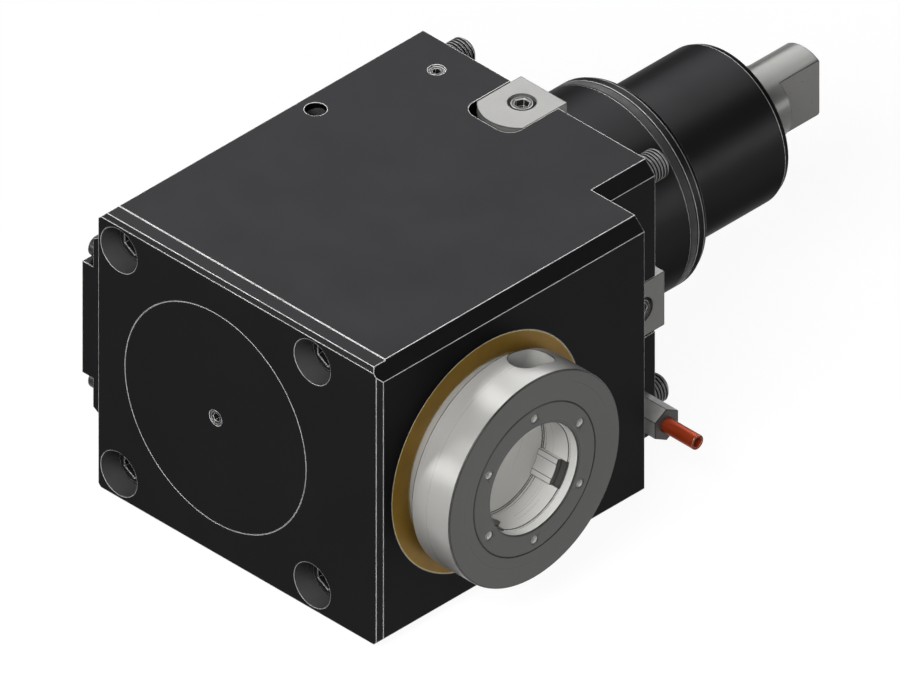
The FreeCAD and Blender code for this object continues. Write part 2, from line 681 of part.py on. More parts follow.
def coolant_ways():
    """Port in the mounting face, the drilling behind the fitting and the fitting's thread."""
    stub_end = BLOCK_HALF - FITTING_STUB
    port = rod(COOLANT_DRILL_R, (PORT_X, COOLANT_Y, COOLANT_Z), (PORT_X, 1, COOLANT_Z))
    cross = rod(COOLANT_DRILL_R, (PORT_X, COOLANT_Y, COOLANT_Z), (stub_end, COOLANT_Y, COOLANT_Z))
    thread = rod(FITTING_STUB_R, (stub_end, COOLANT_Y, COOLANT_Z), (BLOCK_HALF + 1, COOLANT_Y, COOLANT_Z))
    seal = rod(PORT_SEAL_R, (PORT_X, -PORT_SEAL, COOLANT_Z), (PORT_X, 1, COOLANT_Z))
    return [port, cross, thread, seal]


def top_drillings():
    plug = (PLUG_X, PLUG_Y)
    bleed = (BLEED_X, BLEED_Y)
    return [
        rod(PLUG_HOLE_R, (*plug, BLOCK_HALF - PLUG_MOUTH_DEPTH), (*plug, BLOCK_HALF + 1)),
        rod(PLUG_R, (*plug, BLOCK_HALF - PLUG_SUNK - PLUG_LENGTH), (*plug, BLOCK_HALF)),
        rod(PLUG_DRILL_R, (*plug, BLOCK_HALF - PLUG_DRILL_DEPTH), (*plug, BLOCK_HALF)),
        rod(BLEED_R, (*bleed, SCREW_PLACE), (*bleed, BLOCK_HALF + 1)),
    ]


def housing():
    shape = block_and_flange().fuse(boss_and_shank()).removeSplitter()
    cuts = [shaft_hollow(), spindle_hollow(), circlip_groove()]
    cuts += screw_holes() + coolant_ways() + top_drillings()
    for i in range(4):
        cuts.append(around_flange(key_pocket(), i))
        cuts.append(around_flange(key_screw_hole(), i))
    for y, z in cover_screw_places():
        cuts.append(rod(COVER_SCREW_R, (-BLOCK_HALF - 1, y, z), (-BLOCK_HALF + COVER_SCREW_GRIP, y, z)))
    for cutter in cuts:
        shape = shape.cut(cutter)
    return shape


def front_cap():
    spigot_end = CAP_SEAT_Y + CAP_SPIGOT
    spigot_bore = CAVITY_R - CAP_SPIGOT_WALL
    groove_end, floor = CAP_GROOVE_Y + CAP_GROOVE_WIDTH, CAP_R - CAP_GROOVE_DEPTH
    cap = shaft_turned([
        (FRONT_Y, CAP_SCREW_R), (FRONT_Y, CAP_R), (CAP_GROOVE_Y, CAP_R), (CAP_GROOVE_Y, floor),
        (groove_end, floor), (groove_end, CAP_R), (CAP_SEAT_Y, CAP_R), (CAP_SEAT_Y, CAVITY_R),
        (spigot_end, CAVITY_R), (spigot_end, spigot_bore),
        (CAP_SEAT_Y - CAP_DISH, spigot_bore - CAP_DISH), (CAP_SEAT_Y - CAP_DISH, CAP_SCREW_R)])
    seal = on_shaft(o_ring(floor, CAP_R, CAP_GROOVE_WIDTH), CAP_GROOVE_Y + CAP_GROOVE_WIDTH / 2)
    mouth = rod(CAP_MOUTH_R, (0, FRONT_Y - 1, 0), (0, FRONT_Y + CAP_MOUTH_DEPTH, 0))
    screw = set_screw((0, FRONT_Y + CAP_SCREW_SUNK, 0), (0, 1, 0), CAP_SCREW_R, CAP_SCREW_LENGTH,
                      CAP_SCREW_HEX)
    return cap.cut(mouth), seal, screw


def mounting_screws():
    return [cap_screw((sx * SCREW_PLACE, SCREW_SEAT_Y, sz * SCREW_PLACE), (0, 1, 0), SCREW_R,
                      SCREW_HEAD_R, SCREW_HEAD_HEIGHT, SCREW_LENGTH, SCREW_HEX, SCREW_HEX_DEPTH,
                      SCREW_POINT) for sx, sz in CORNERS]


def gland_ring():
    lip = NECK_END_X - BODY_GAP
    front = SPINDLE_FRONT_BEARING["outer"]
    return spindle_turned([
        (NOSE_FACE_X, GLAND_R), (NOSE_FACE_X, GLAND_LAND_R), (lip, GLAND_LAND_R), (lip, GLAND_LIP_R),
        (lip - GLAND_LIP, GLAND_LIP_R), (lip - GLAND_LIP, GLAND_SEAL_POCKET_R),
        (SPINDLE_FRONT_X, GLAND_SEAL_POCKET_R), (SPINDLE_FRONT_X, front), (GLAND_SEAT_X, front),
        (GLAND_SEAT_X, GLAND_R)])


def spindle_seal():
    end = NECK_END_X - BODY_GAP - GLAND_LIP
    start = SPINDLE_FRONT_X + 0.4
    inner = SEAL_LAND_R + RUNNING_FIT
    middle = (start + end) / 2
    return spindle_turned([(start, inner + 0.8), (middle, inner), (end, inner + 0.8),
                           (end, GLAND_SEAL_POCKET_R), (start, GLAND_SEAL_POCKET_R)])


def rear_cover():
    along_x, along_z = COVER_CHAMFER
    outline = [(-BLOCK_HALF, -COVER_HALF_Z - along_z), (-BLOCK_HALF, COVER_HALF_Z + along_z),
               (COVER_X + along_x, COVER_HALF_Z + along_z), (COVER_X, COVER_HALF_Z),
               (COVER_X, -COVER_HALF_Z), (COVER_X + along_x, -COVER_HALF_Z - along_z)]
    front, back = SPINDLE_Y - COVER_HALF_Y, SPINDLE_Y + COVER_HALF_Y
    plate = face_of([(x, front, z) for x, z in outline]).extrude(V(0, back - front, 0))
    pad = box(COVER_X - COVER_PAD, COVER_X, front, back, -COVER_PAD_HALF_Z, COVER_PAD_HALF_Z)
    rear = SPINDLE_REAR_BEARING["outer"]
    groove, depth = COVER_GROOVE_WIDTH, COVER_GROOVE_DEPTH
    middle = (-BLOCK_HALF + SPINDLE_REAR_END_X) / 2
    spigot = spindle_turned([
        (-BLOCK_HALF - 1, 0), (-BLOCK_HALF - 1, rear), (middle - groove / 2, rear),
        (middle - groove / 2, rear - depth), (middle + groove / 2, rear - depth),
        (middle + groove / 2, rear), (SPINDLE_REAR_END_X, rear), (SPINDLE_REAR_END_X, 0)])
    recess = rod(COVER_SPIGOT_BORE_R, (SPINDLE_END_X - COVER_RECESS, SPINDLE_Y, 0), (0, SPINDLE_Y, 0))
    cover = plate.fuse(pad).fuse(spigot).cut(recess)
    hole_r = COVER_SCREW_R + COVER_SCREW_CLEARANCE
    for y, z in cover_screw_places():
        cover = cover.cut(rod(hole_r, (COVER_X - 1, y, z), (-BLOCK_HALF + 1, y, z)))
    seal = on_spindle(o_ring(rear - depth, rear, groove), middle)
    return cover.removeSplitter(), seal


def rear_cover_screws():
    length = COVER_THICKNESS + COVER_SCREW_GRIP
    return [cap_screw((COVER_X, y, z), (1, 0, 0), COVER_SCREW_R, COVER_HEAD_R, COVER_HEAD_HEIGHT,
                      length, COVER_HEX, COVER_HEX_DEPTH) for y, z in cover_screw_places()]


def coolant_parts():
    at = (COOLANT_Y, COOLANT_Z)
    stub_end, seat = BLOCK_HALF - FITTING_STUB, BLOCK_HALF + COOLANT_WASHER
    washer = tube(COOLANT_WASHER_R, FITTING_STUB_R, (BLOCK_HALF, *at), (seat, *at))
    body = hexagon(FITTING_HEX, (seat, *at), (FITTING_FACE_X, *at), (0, 1, 0))
    body = body.fuse(rod(FITTING_STUB_R, (stub_end, *at), (seat, *at)))
    body = body.cut(rod(TUBE_R, (TUBE_SEAT_X, *at), (FITTING_FACE_X + 1, *at)))
    body = body.cut(rod(FITTING_BORE_R, (stub_end - 1, *at), (TUBE_SEAT_X, *at)))
    pipe = tube(TUBE_R, TUBE_BORE_R, (TUBE_SEAT_X, *at), (TUBE_END_X, *at))
    port_seal = o_ring(COOLANT_DRILL_R + 0.4, PORT_SEAL_R, PORT_SEAL)
    port_seal.Placement = FreeCAD.Placement(V(PORT_X, -PORT_SEAL / 2, COOLANT_Z),
                                            FreeCAD.Rotation(V(0, 0, 1), V(0, 1, 0)))
    return washer, body, pipe, port_seal


def drive_shaft():
    front = SPINDLE_Y + gear_front() + SHAFT_END_GAP
    seat = SHAFT_FRONT_BEARING["bore"]
    nut_end = SHAFT_PAIR_END_Y + LOCK_WASHER + SHAFT_NUT_WIDTH + 1
    rear = SHAFT_REAR_BEARING["bore"]
    clip_end, clip_floor = SHAFT_REAR_END_Y + CIRCLIP_THICKNESS, rear - SHAFT_CLIP_DEPTH
    shaft = shaft_turned([
        (front, 0), (front, PINION_BORE_R), (PINION_BACK_Y, PINION_BORE_R), (PINION_BACK_Y, seat),
        (nut_end, seat), (nut_end, SHAFT_BODY_R), (SHAFT_REAR_Y, SHAFT_BODY_R), (SHAFT_REAR_Y, rear),
        (SHAFT_REAR_END_Y, rear), (SHAFT_REAR_END_Y, clip_floor), (clip_end, clip_floor),
        (clip_end, TANG_R),
        (TANG_END_Y - TANG_CHAMFER, TANG_R), (TANG_END_Y, TANG_R - TANG_CHAMFER), (TANG_END_Y, 0)])
    for side in (-1, 1):
        inner, outer = side * TANG_THICKNESS / 2, side * (TANG_R + 1)
        shaft = shaft.cut(box(min(inner, outer), max(inner, outer), TANG_START_Y, TANG_END_Y + 1,
                              -TANG_R - 1, TANG_R + 1))
    return shaft.cut(rod(END_SCREW_R, (0, front - 1, 0), (0, front + END_SCREW_LENGTH, 0)))


def pinion_key_blank(grow):
    """The pinion's key, 6 by 6, seen from the top of the shaft."""
    half = FEATHER_HALF_WIDTH
    return box(-half, half, PINION_BACK_Y - PINION_KEY_LENGTH, PINION_BACK_Y + grow,
               PINION_BORE_R - FEATHER_IN_SHAFT, PINION_BORE_R + FEATHER_IN_HUB)


def gear_key_blank(grow):
    half = FEATHER_HALF_WIDTH
    return box(SPINDLE_GEAR_BACK - GEAR_KEY_LENGTH, SPINDLE_GEAR_BACK + grow,
               SPINDLE_Y - half, SPINDLE_Y + half,
               SPINDLE_GEAR_BORE_R - FEATHER_IN_SHAFT, SPINDLE_GEAR_BORE_R + FEATHER_IN_HUB)


def gear_parts():
    """The two gears in mesh: a tooth of the pinion stands in a space of the spindle gear."""
    pinion = BevelGear(PINION_BORE_R, PINION_BACK, 0.0).shape()
    gear = BevelGear(SPINDLE_GEAR_BORE_R, SPINDLE_GEAR_BACK, 180 / GEAR_TEETH).shape()
    pinion = on_shaft(pinion, SPINDLE_Y).cut(pinion_key_blank(1))
    gear = on_spindle(gear).cut(gear_key_blank(1))
    return pinion, gear


def pinion_clamp():
    """End disc and countersunk screw that hold the pinion on the shaft."""
    face = SPINDLE_Y + gear_front()
    start = face - END_DISC_THICKNESS
    sink = END_SCREW_HEAD_R - END_SCREW_R
    disc = shaft_turned([(start, END_SCREW_HEAD_R), (start, END_DISC_R), (face, END_DISC_R),
                         (face, END_SCREW_R), (start + sink, END_SCREW_R)])
    screw = shaft_turned([(start, 0), (start, END_SCREW_HEAD_R), (start + sink, END_SCREW_R),
                          (face + END_SCREW_LENGTH - 1, END_SCREW_R), (face + END_SCREW_LENGTH - 1, 0)])
    socket = hexagon(END_SCREW_HEX, (0, start, 0), (0, start + END_SCREW_HEX_DEPTH, 0), (0, 0, 1))
    return disc, screw.cut(socket)


def dog_block(angle, front_x, grow_r=0.0, full=True):
    """A drive dog: flats each side of a hollowed middle, on a block let into the socket wall."""
    half, rib = DOG_WIDTH / 2, DOG_HOLLOW_WIDTH / 2
    inner = DOG_FLAT_R - (3.0 if not full else 0.0)
    a, b, c = V(0, -half, DOG_SEAT_R + grow_r), V(0, -half, inner), V(0, -rib, inner)
    d, e, f = V(0, rib, inner), V(0, half, inner), V(0, half, DOG_SEAT_R + grow_r)
    middle = Part.Arc(c, V(0, 0, DOG_HOLLOW_R), d).toShape() if full else Part.makeLine(c, d)
    edges = [Part.makeLine(a, b), Part.makeLine(b, c), middle, Part.makeLine(d, e),
             Part.makeLine(e, f), Part.makeLine(f, a)]
    block = Part.Face(Part.Wire(edges)).extrude(V(front_x - SOCKET_GROOVE_X, 0, 0))
    block.translate(V(SOCKET_GROOVE_X, SPINDLE_Y, 0))
    block.rotate(SPINDLE_AXIS_POINT, V(1, 0, 0), angle - 90)
    return block


def drive_dog(angle):
    """Its base fills the slot up to the face ring and its front end is set back."""
    block = dog_block(angle, FACE_RING_BACK_X)
    front = SOCKET_GROOVE_X + DOG_LENGTH
    return block.cut(rod(SOCKET_R, (front, SPINDLE_Y, 0), (COLLAR_FACE_X, SPINDLE_Y, 0)))


def clamp_pocket():
    """Long round the collar, so that the key reaches the clamp screw."""
    low, high = CLAMP_ACCESS_FLOOR_R, COLLAR_R + 2
    start, end = SPINDLE_Y - CLAMP_ACCESS_SPREAD, SPINDLE_Y + CLAMP_ACCESS_SPREAD
    pocket = box(CLAMP_X - CLAMP_ACCESS_R, CLAMP_X + CLAMP_ACCESS_R, start, end, low, high)
    for y in (start, end):
        pocket = pocket.fuse(rod(CLAMP_ACCESS_R, (CLAMP_X, y, low), (CLAMP_X, y, high)))
    pocket = pocket.removeSplitter()
    pocket.rotate(SPINDLE_AXIS_POINT, V(1, 0, 0), CLAMP_ANGLE - 90)
    return pocket


def spindle():
    seat = SPINDLE_FRONT_BEARING["bore"]
    nut_start = SPINDLE_PAIR_X - SPINDLE_RING_NUT_WIDTH - 1
    groove_end = SOCKET_GROOVE_X + SOCKET_GROOVE_WIDTH
    groove_r = SOCKET_R + SOCKET_GROOVE_DEPTH
    body = spindle_turned([
        (COLLAR_FACE_X, FACE_RING_R), (COLLAR_FACE_X, COLLAR_R - COLLAR_CHAMFER),
        (COLLAR_FACE_X - COLLAR_CHAMFER, COLLAR_R), (COLLAR_BACK_X + COLLAR_CHAMFER, COLLAR_R),
        (COLLAR_BACK_X, COLLAR_R - COLLAR_CHAMFER), (COLLAR_BACK_X, NECK_R), (NECK_END_X, NECK_R),
        (NECK_END_X, SEAL_LAND_R), (SPINDLE_FRONT_X, SEAL_LAND_R), (SPINDLE_FRONT_X, seat),
        (nut_start, seat), (nut_start, seat - 2), (SPINDLE_GEAR_BACK, seat - 2),
        (SPINDLE_GEAR_BACK, SPINDLE_GEAR_BORE_R), (gear_front() + SHAFT_END_GAP, SPINDLE_GEAR_BORE_R),
        (gear_front() + SHAFT_END_GAP, SPINDLE_REAR_R), (SPINDLE_REAR_END_X, SPINDLE_REAR_R),
        (SPINDLE_REAR_END_X, SPINDLE_THREAD_R), (SPINDLE_END_X, SPINDLE_THREAD_R), (SPINDLE_END_X, 0),
        (SOCKET_FLOOR_X - 5, 0), (SOCKET_FLOOR_X, SOCKET_BACK_R), (SOCKET_GROOVE_X, SOCKET_BACK_R),
        (SOCKET_GROOVE_X, groove_r), (groove_end, groove_r), (groove_end, SOCKET_R),
        (FACE_RING_BACK_X, SOCKET_R), (FACE_RING_BACK_X, FACE_RING_R)])
    for angle in DOG_ANGLES:
        body = body.cut(dog_block(angle, FACE_RING_BACK_X, full=False))
    thread = rod(CLAMP_SCREW_R, spindle_point(CLAMP_X, SOCKET_R - 3, CLAMP_ANGLE),
                 spindle_point(CLAMP_X, CLAMP_ACCESS_FLOOR_R + 1, CLAMP_ANGLE))
    return body.cut(clamp_pocket()).cut(thread).cut(gear_key_blank(0))


def clamp_screw():
    top = V(*spindle_point(CLAMP_X, CLAMP_TIP_R + CLAMP_SCREW_LENGTH, CLAMP_ANGLE))
    way = V(*spindle_point(0, -1, CLAMP_ANGLE)) - SPINDLE_AXIS_POINT
    return set_screw(top, way, CLAMP_SCREW_R, CLAMP_SCREW_LENGTH, CLAMP_HEX)


def face_ring():
    bevel = FACE_RING_CHAMFER
    ring = spindle_turned([
        (FACE_RING_BACK_X, FACE_RING_BORE_R), (COLLAR_FACE_X - bevel, FACE_RING_BORE_R),
        (COLLAR_FACE_X, FACE_RING_BORE_R + bevel), (COLLAR_FACE_X, FACE_RING_R - bevel),
        (COLLAR_FACE_X - bevel, FACE_RING_R), (FACE_RING_BACK_X, FACE_RING_R)])
    for i in range(FACE_HOLES):
        angle = 360 / FACE_HOLES * (i + 0.5)
        ring = ring.cut(rod(FACE_HOLE_R, spindle_point(FACE_RING_BACK_X - 1, FACE_HOLE_PCD / 2, angle),
                            spindle_point(COLLAR_FACE_X + 1, FACE_HOLE_PCD / 2, angle)))
    return ring


def bearing_sets():
    """Each bearing or pair of bearings: name, the rings' shapes and where they lie."""
    shaft, spindle_pair = SHAFT_FRONT_BEARING, SPINDLE_FRONT_BEARING
    w, v = shaft["width"], spindle_pair["width"]
    pair_y, pair_x = PINION_BACK_Y, SPINDLE_PAIR_X
    rear_y = SHAFT_REAR_Y + SHAFT_REAR_BEARING["width"] / 2
    rear_x = SPINDLE_REAR_X - SPINDLE_REAR_BEARING["width"] / 2
    return [
        ("shaft_front", shaft, on_shaft, [(pair_y + w / 2, -1), (pair_y + 1.5 * w, 1)]),
        ("shaft_rear", SHAFT_REAR_BEARING, on_shaft, [(rear_y, 1)]),
        ("spindle_front", spindle_pair, on_spindle, [(pair_x + v / 2, -1), (pair_x + 1.5 * v, 1)]),
        ("spindle_rear", SPINDLE_REAR_BEARING, on_spindle, [(rear_x, 1)]),
    ]


def bearings():
    nodes = {}
    for name, sizes, lay, places in bearing_sets():
        bearing = RollerBearing(**sizes)
        inner, outer, cage, rollers = (bearing.inner_ring(), bearing.outer_ring(), bearing.cage(),
                                       bearing.rollers())
        nodes[name + "_inner_rings"] = [lay(inner, at, way) for at, way in places]
        nodes[name + "_outer_rings"] = [lay(outer, at, way) for at, way in places]
        nodes[name + "_cages"] = [lay(cage, at, way) for at, way in places]
        nodes[name + "_rollers"] = [lay(roller, at, way) for at, way in places for roller in rollers]
    return nodes


def nuts_and_rings():
    """Lock nuts, washers, circlips and the shaft seal."""
    seat = SHAFT_FRONT_BEARING["bore"]
    shaft_washer = on_shaft(turned([(0, seat), (0, SHAFT_NUT_R - 2), (LOCK_WASHER, SHAFT_NUT_R - 2),
                                    (LOCK_WASHER, seat)]), SHAFT_PAIR_END_Y)
    shaft_nut = on_shaft(slotted_nut(seat, SHAFT_NUT_R, SHAFT_NUT_WIDTH), SHAFT_PAIR_END_Y + LOCK_WASHER)
    cup_nut = on_shaft(slotted_nut(CUP_NUT_BORE_R, SHAFT_FRONT_BEARING["outer"], CUP_NUT_WIDTH),
                       PINION_BACK_Y, -1)
    thread = SPINDLE_THREAD_R
    spindle_washer = on_spindle(turned([(0, thread), (0, SPINDLE_NUT_R - 1.5),
                                        (LOCK_WASHER, SPINDLE_NUT_R - 1.5), (LOCK_WASHER, thread)]),
                                SPINDLE_REAR_END_X, -1)
    spindle_nut = on_spindle(slotted_nut(thread, SPINDLE_NUT_R, SPINDLE_NUT_WIDTH),
                             SPINDLE_REAR_END_X - LOCK_WASHER, -1)
    ring_nut = on_spindle(slotted_nut(SPINDLE_FRONT_BEARING["bore"], SPINDLE_RING_NUT_R,
                                      SPINDLE_RING_NUT_WIDTH), SPINDLE_PAIR_X, -1)
    sleeve = on_spindle(tube(SPINDLE_REAR_R + SLEEVE_WALL, SPINDLE_REAR_R,
                             (0, 0, SPINDLE_REAR_X), (0, 0, gear_front())))
    outer, rear = SHAFT_REAR_BEARING["outer"], SHAFT_REAR_BEARING["bore"]
    clip_start, clip_end = SHAFT_REAR_END_Y, SHAFT_REAR_END_Y + CIRCLIP_THICKNESS
    bore_r, shaft_r = outer + BORE_CLIP_DEPTH, rear - SHAFT_CLIP_DEPTH
    half, shaft_half = BORE_CLIP_GAP / 2, SHAFT_CLIP_GAP / 2
    bore_clip = tube(bore_r, bore_r - BORE_CLIP_WALL, (0, clip_start, 0), (0, clip_end, 0))
    gap = box(-half, half, clip_start - 1, clip_end + 1, 0, bore_r + 1)
    shaft_clip = tube(shaft_r + SHAFT_CLIP_WALL, shaft_r, (0, clip_start, 0), (0, clip_end, 0))
    shaft_gap = box(-shaft_half, shaft_half, clip_start - 1, clip_end + 1, 0, outer)
    inner = TANG_R + RUNNING_FIT
    seal_start = clip_end + 0.2
    seal_end = seal_start + SHAFT_SEAL_WIDTH
    seal = shaft_turned([(seal_start, inner + 3), (seal_start + 1.4, inner + 1.2),
                         (seal_start + 2.2, inner), (seal_start + 3, inner + 1), (seal_end, inner + 1.4),
                         (seal_end, outer), (seal_start, outer)])
    return {
        "shaft_lock_washer": [shaft_washer],
        "shaft_lock_nut": [shaft_nut],
        "shaft_bearing_ring_nut": [cup_nut],
        "spindle_lock_washer": [spindle_washer],
        "spindle_lock_nut": [spindle_nut],
        "spindle_ring_nut": [ring_nut],
        "spindle_spacer_sleeve": [sleeve],
        "shank_bore_circlip": [bore_clip.cut(gap)],
        "shaft_circlip": [shaft_clip.cut(shaft_gap)],
        "shaft_seal": [seal],
    }


def all_nodes():
    cap, cap_seal, cap_screw_shape = front_cap()
    cover, cover_seal = rear_cover()
    washer, fitting, pipe, port_seal = coolant_parts()
    pinion, gear = gear_parts()
    disc, disc_screw = pinion_clamp()
    plug_top = (PLUG_X, PLUG_Y, BLOCK_HALF - PLUG_SUNK)
    nodes = {
        "housing": [housing()],
        "front_cap": [cap],
        "front_cap_seal": [cap_seal],
        "front_cap_screw": [cap_screw_shape],
        "mounting_screws": mounting_screws(),
        "top_plug_screw": [set_screw(plug_top, (0, 0, -1), PLUG_R, PLUG_LENGTH, PLUG_HEX)],
        "boss_seal": [on_shaft(o_ring(BOSS_R - BOSS_GROOVE_DEPTH, BOSS_R, BOSS_GROOVE_WIDTH),
                               BOSS_GROOVE_Y + BOSS_GROOVE_WIDTH / 2)],
        "gland_ring": [gland_ring()],
        "spindle_seal": [spindle_seal()],
        "rear_cover": [cover],
        "rear_cover_seal": [cover_seal],
        "rear_cover_screws": rear_cover_screws(),
        "coolant_washer": [washer],
        "coolant_fitting": [fitting],
        "coolant_tube": [pipe],
        "coolant_port_seal": [port_seal],
        "drive_shaft": [drive_shaft().cut(pinion_key_blank(0))],
        "drive_pinion": [pinion],
        "pinion_key": [pinion_key_blank(0)],
        "pinion_end_disc": [disc],
        "pinion_screw": [disc_screw],
        "spindle": [spindle()],
        "spindle_gear": [gear],
        "gear_key": [gear_key_blank(0)],
        "spindle_face_ring": [face_ring()],
        "drive_dogs": [drive_dog(angle) for angle in DOG_ANGLES],
        "tool_clamp_screw": [clamp_screw()],
        "key_screws": [around_flange(key_screw(), i) for i in range(4)],
    }
    for i, side in enumerate(("top", "right", "bottom", "left")):
        nodes[side + "_locating_key"] = [around_flange(key_shape(), i)]
    nodes.update(bearings())
    nodes.update(nuts_and_rings())
    return nodes


def main():
    os.makedirs("parts", exist_ok=True)
    for name, solids in all_nodes().items():
        solids = [s for shape in solids for s in shape.Solids]
        shape = solids[0] if len(solids) == 1 else Part.makeCompound(solids)
        shape.exportStep(os.path.join("parts", name + ".step"))
        print(name, len(solids), "valid" if shape.isValid() else "INVALID", round(shape.Volume, 1))


main()
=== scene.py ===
import json
import math

import bmesh
import bpy
from mathutils import Matrix, Vector

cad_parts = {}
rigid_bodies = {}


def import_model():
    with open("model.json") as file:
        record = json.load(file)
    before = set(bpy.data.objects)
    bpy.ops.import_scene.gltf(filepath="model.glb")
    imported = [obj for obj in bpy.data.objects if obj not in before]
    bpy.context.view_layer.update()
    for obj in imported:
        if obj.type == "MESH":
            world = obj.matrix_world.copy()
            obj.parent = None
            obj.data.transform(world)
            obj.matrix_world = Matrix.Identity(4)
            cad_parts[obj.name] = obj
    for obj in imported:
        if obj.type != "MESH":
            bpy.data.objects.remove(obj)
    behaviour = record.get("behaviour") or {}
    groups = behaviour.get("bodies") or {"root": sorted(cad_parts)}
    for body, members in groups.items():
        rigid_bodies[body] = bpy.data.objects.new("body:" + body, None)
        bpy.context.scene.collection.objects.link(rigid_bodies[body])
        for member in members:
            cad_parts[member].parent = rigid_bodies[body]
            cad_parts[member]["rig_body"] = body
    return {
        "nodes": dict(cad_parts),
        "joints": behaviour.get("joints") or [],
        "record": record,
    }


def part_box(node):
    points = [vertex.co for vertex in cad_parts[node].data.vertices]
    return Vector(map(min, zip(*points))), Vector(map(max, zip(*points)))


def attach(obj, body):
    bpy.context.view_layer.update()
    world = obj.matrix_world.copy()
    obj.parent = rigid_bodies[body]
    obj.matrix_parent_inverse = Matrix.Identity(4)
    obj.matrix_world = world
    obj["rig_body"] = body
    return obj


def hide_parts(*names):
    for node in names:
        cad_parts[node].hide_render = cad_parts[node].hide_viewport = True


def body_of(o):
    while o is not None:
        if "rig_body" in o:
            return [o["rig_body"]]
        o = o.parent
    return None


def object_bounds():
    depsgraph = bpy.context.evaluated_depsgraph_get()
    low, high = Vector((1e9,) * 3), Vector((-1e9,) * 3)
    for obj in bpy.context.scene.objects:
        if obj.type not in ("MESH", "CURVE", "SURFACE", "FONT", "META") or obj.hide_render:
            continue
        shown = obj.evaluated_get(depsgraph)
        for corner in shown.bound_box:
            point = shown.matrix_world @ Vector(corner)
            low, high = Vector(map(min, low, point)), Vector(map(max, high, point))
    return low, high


# Radial driven tool holder: finishes, screw detail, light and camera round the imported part.
# Metres, in the part's own frame: +Y along the shank, +X the way the tool points, +Z up.
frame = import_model()
cad_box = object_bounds()

MM = 0.001

# Camera: an isometric view from the front right and above
VIEW_CENTRE = Vector((-0.00637, -0.03732, -0.03095))
VIEW_BACK = Vector((1, -1, 1)).normalized()
VIEW_WIDTH = 0.32924
VIEW_DISTANCE = 1.0
VIEW_NEAR, VIEW_FAR = 0.01, 10

# Area lamps: name, azimuth and elevation seen from the part in degrees, distance, width,
# height, radiance, and whether the lamp lights dull surfaces too or is only mirrored
SOFTBOXES = [
    ("left_wall", 138, 37, 1.7, 1.5, 1.1, 5.4, False),
    ("back_top", 86, 54, 1.7, 0.9, 0.55, 4.2, False),
    ("overhead", 180, 57, 1.25, 0.45, 0.28, 10.0, False),
    ("main_light", 286, 43, 1.6, 1.0, 0.9, 8.1, True),
    ("nose_light", 335, 25, 1.5, 0.7, 0.6, 4.2, True),
    ("chamfer_light", 225, 35, 1.7, 0.7, 0.5, 4.5, False),
    ("front_strip", 234, 9, 1.4, 0.3, 0.36, 15.0, False),
    ("back_strip", 36, 8, 1.5, 0.4, 0.4, 7.0, False),
    ("back_fill", 46, 36, 1.8, 1.0, 0.7, 0.45, True),
    ("rear_view_wall", 315, 13, 1.9, 1.7, 0.8, 2.6, False),
    ("rear_view_left", 225, -4, 1.9, 1.2, 0.6, 2.5, False),
    ("top_view_panel", 0, 86, 1.9, 1.1, 0.9, 2.6, False),
]

# Sky: it grows from dim to bright between two cosines of the angle to its bright way
SKY_BRIGHT_WAY = Vector((-0.75, -0.2, 0.63)).normalized()
SKY_DIM_COSINE, SKY_BRIGHT_COSINE = -0.5, 0.8
SKY_DIM, SKY_BRIGHT = 0.16, 0.7

FLOOR_RADIUS = 4.0
FLOOR_ALBEDO = 0.14
FLOOR_GLOW = 0.93

# Edge breaks: their widths, the angles from which an edge counts as sharp (the smaller one
# for the pieces with shallow lead-ins), and the distance within which vertices are merged
BLACK_EDGE = 0.12 * MM
SCREW_EDGE = 0.1 * MM
THREAD_EDGE = 0.07 * MM
STEEL_EDGE = 0.12 * MM
DRAWN_EDGE = 0.18 * MM
SHARP_ANGLE = math.radians(26)
LEAD_ANGLE = math.radians(13)
SHALLOW_PIECES = ("housing", "drive_dogs")
WELD = 0.002 * MM

# Edge lines in the materials: how far they reach from an edge, their colours, and the
# cosines between rounded and true normal at which a line begins and is full
EDGE_WEAR = 0.45 * MM
SCREW_WEAR = 0.25 * MM
# The dark lines along the edges of the bare steel are oil and painted shade
BARE_METAL_LINE = 0.7 * MM
COPPER_LINE = 0.16 * MM
WORN_STEEL = (190, 190, 188)
OIL_AND_SHADE_STEEL = (26, 25, 24)
LINE_BEGINS, LINE_FULL = 0.996, 0.972

# Height of the fine marks on the surfaces
GRAIN = 0.004 * MM
RUBBER_GRAIN = 0.01 * MM
MILLING_MARKS = 0.002 * MM
STEEL_MARKS = 0.0015 * MM
BEARING_MARKS = 0.001 * MM

# Places where the colour changes. The end faces towards +X are painted darker, as painted
# shade; the tool socket, the face ring and the drive dogs are painted lighter, as painted
# light. An end face is told apart by where it lies, and FACE_SKIN is how far behind the face
# the change starts. FADE is the length over which the colour changes.
FACE_SKIN = 0.3 * MM
FADE = 0.1 * MM
NOSE_FACE = 110.0 * MM - FACE_SKIN
SOCKET_RADIUS = 23.0 * MM
# The drive dogs are painted lighter over this length from their back end, as painted light
DOG_PAINTED_LIGHT_LENGTH = 10.3 * MM
DOG_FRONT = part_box("drive_dogs")[0].x + DOG_PAINTED_LIGHT_LENGTH
FITTING_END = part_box("coolant_fitting")[1].x - FACE_SKIN
TUBE_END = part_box("coolant_tube")[1].x - FACE_SKIN
BLOCK_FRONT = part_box("housing")[0].y + FACE_SKIN
# Painted light: a near white for the tool socket, the face ring and the drive dogs
PAINTED_LIGHT_STEEL = (240, 239, 236)
# Painted shade: a dark grey for the steel end faces towards +X
PAINTED_SHADE_STEEL = (81, 81, 79)
# Painted light: a matt grey for the counterbore walls, lighter than the black around them
COUNTERBORE_PAINTED_LIGHT = (70, 70, 70)

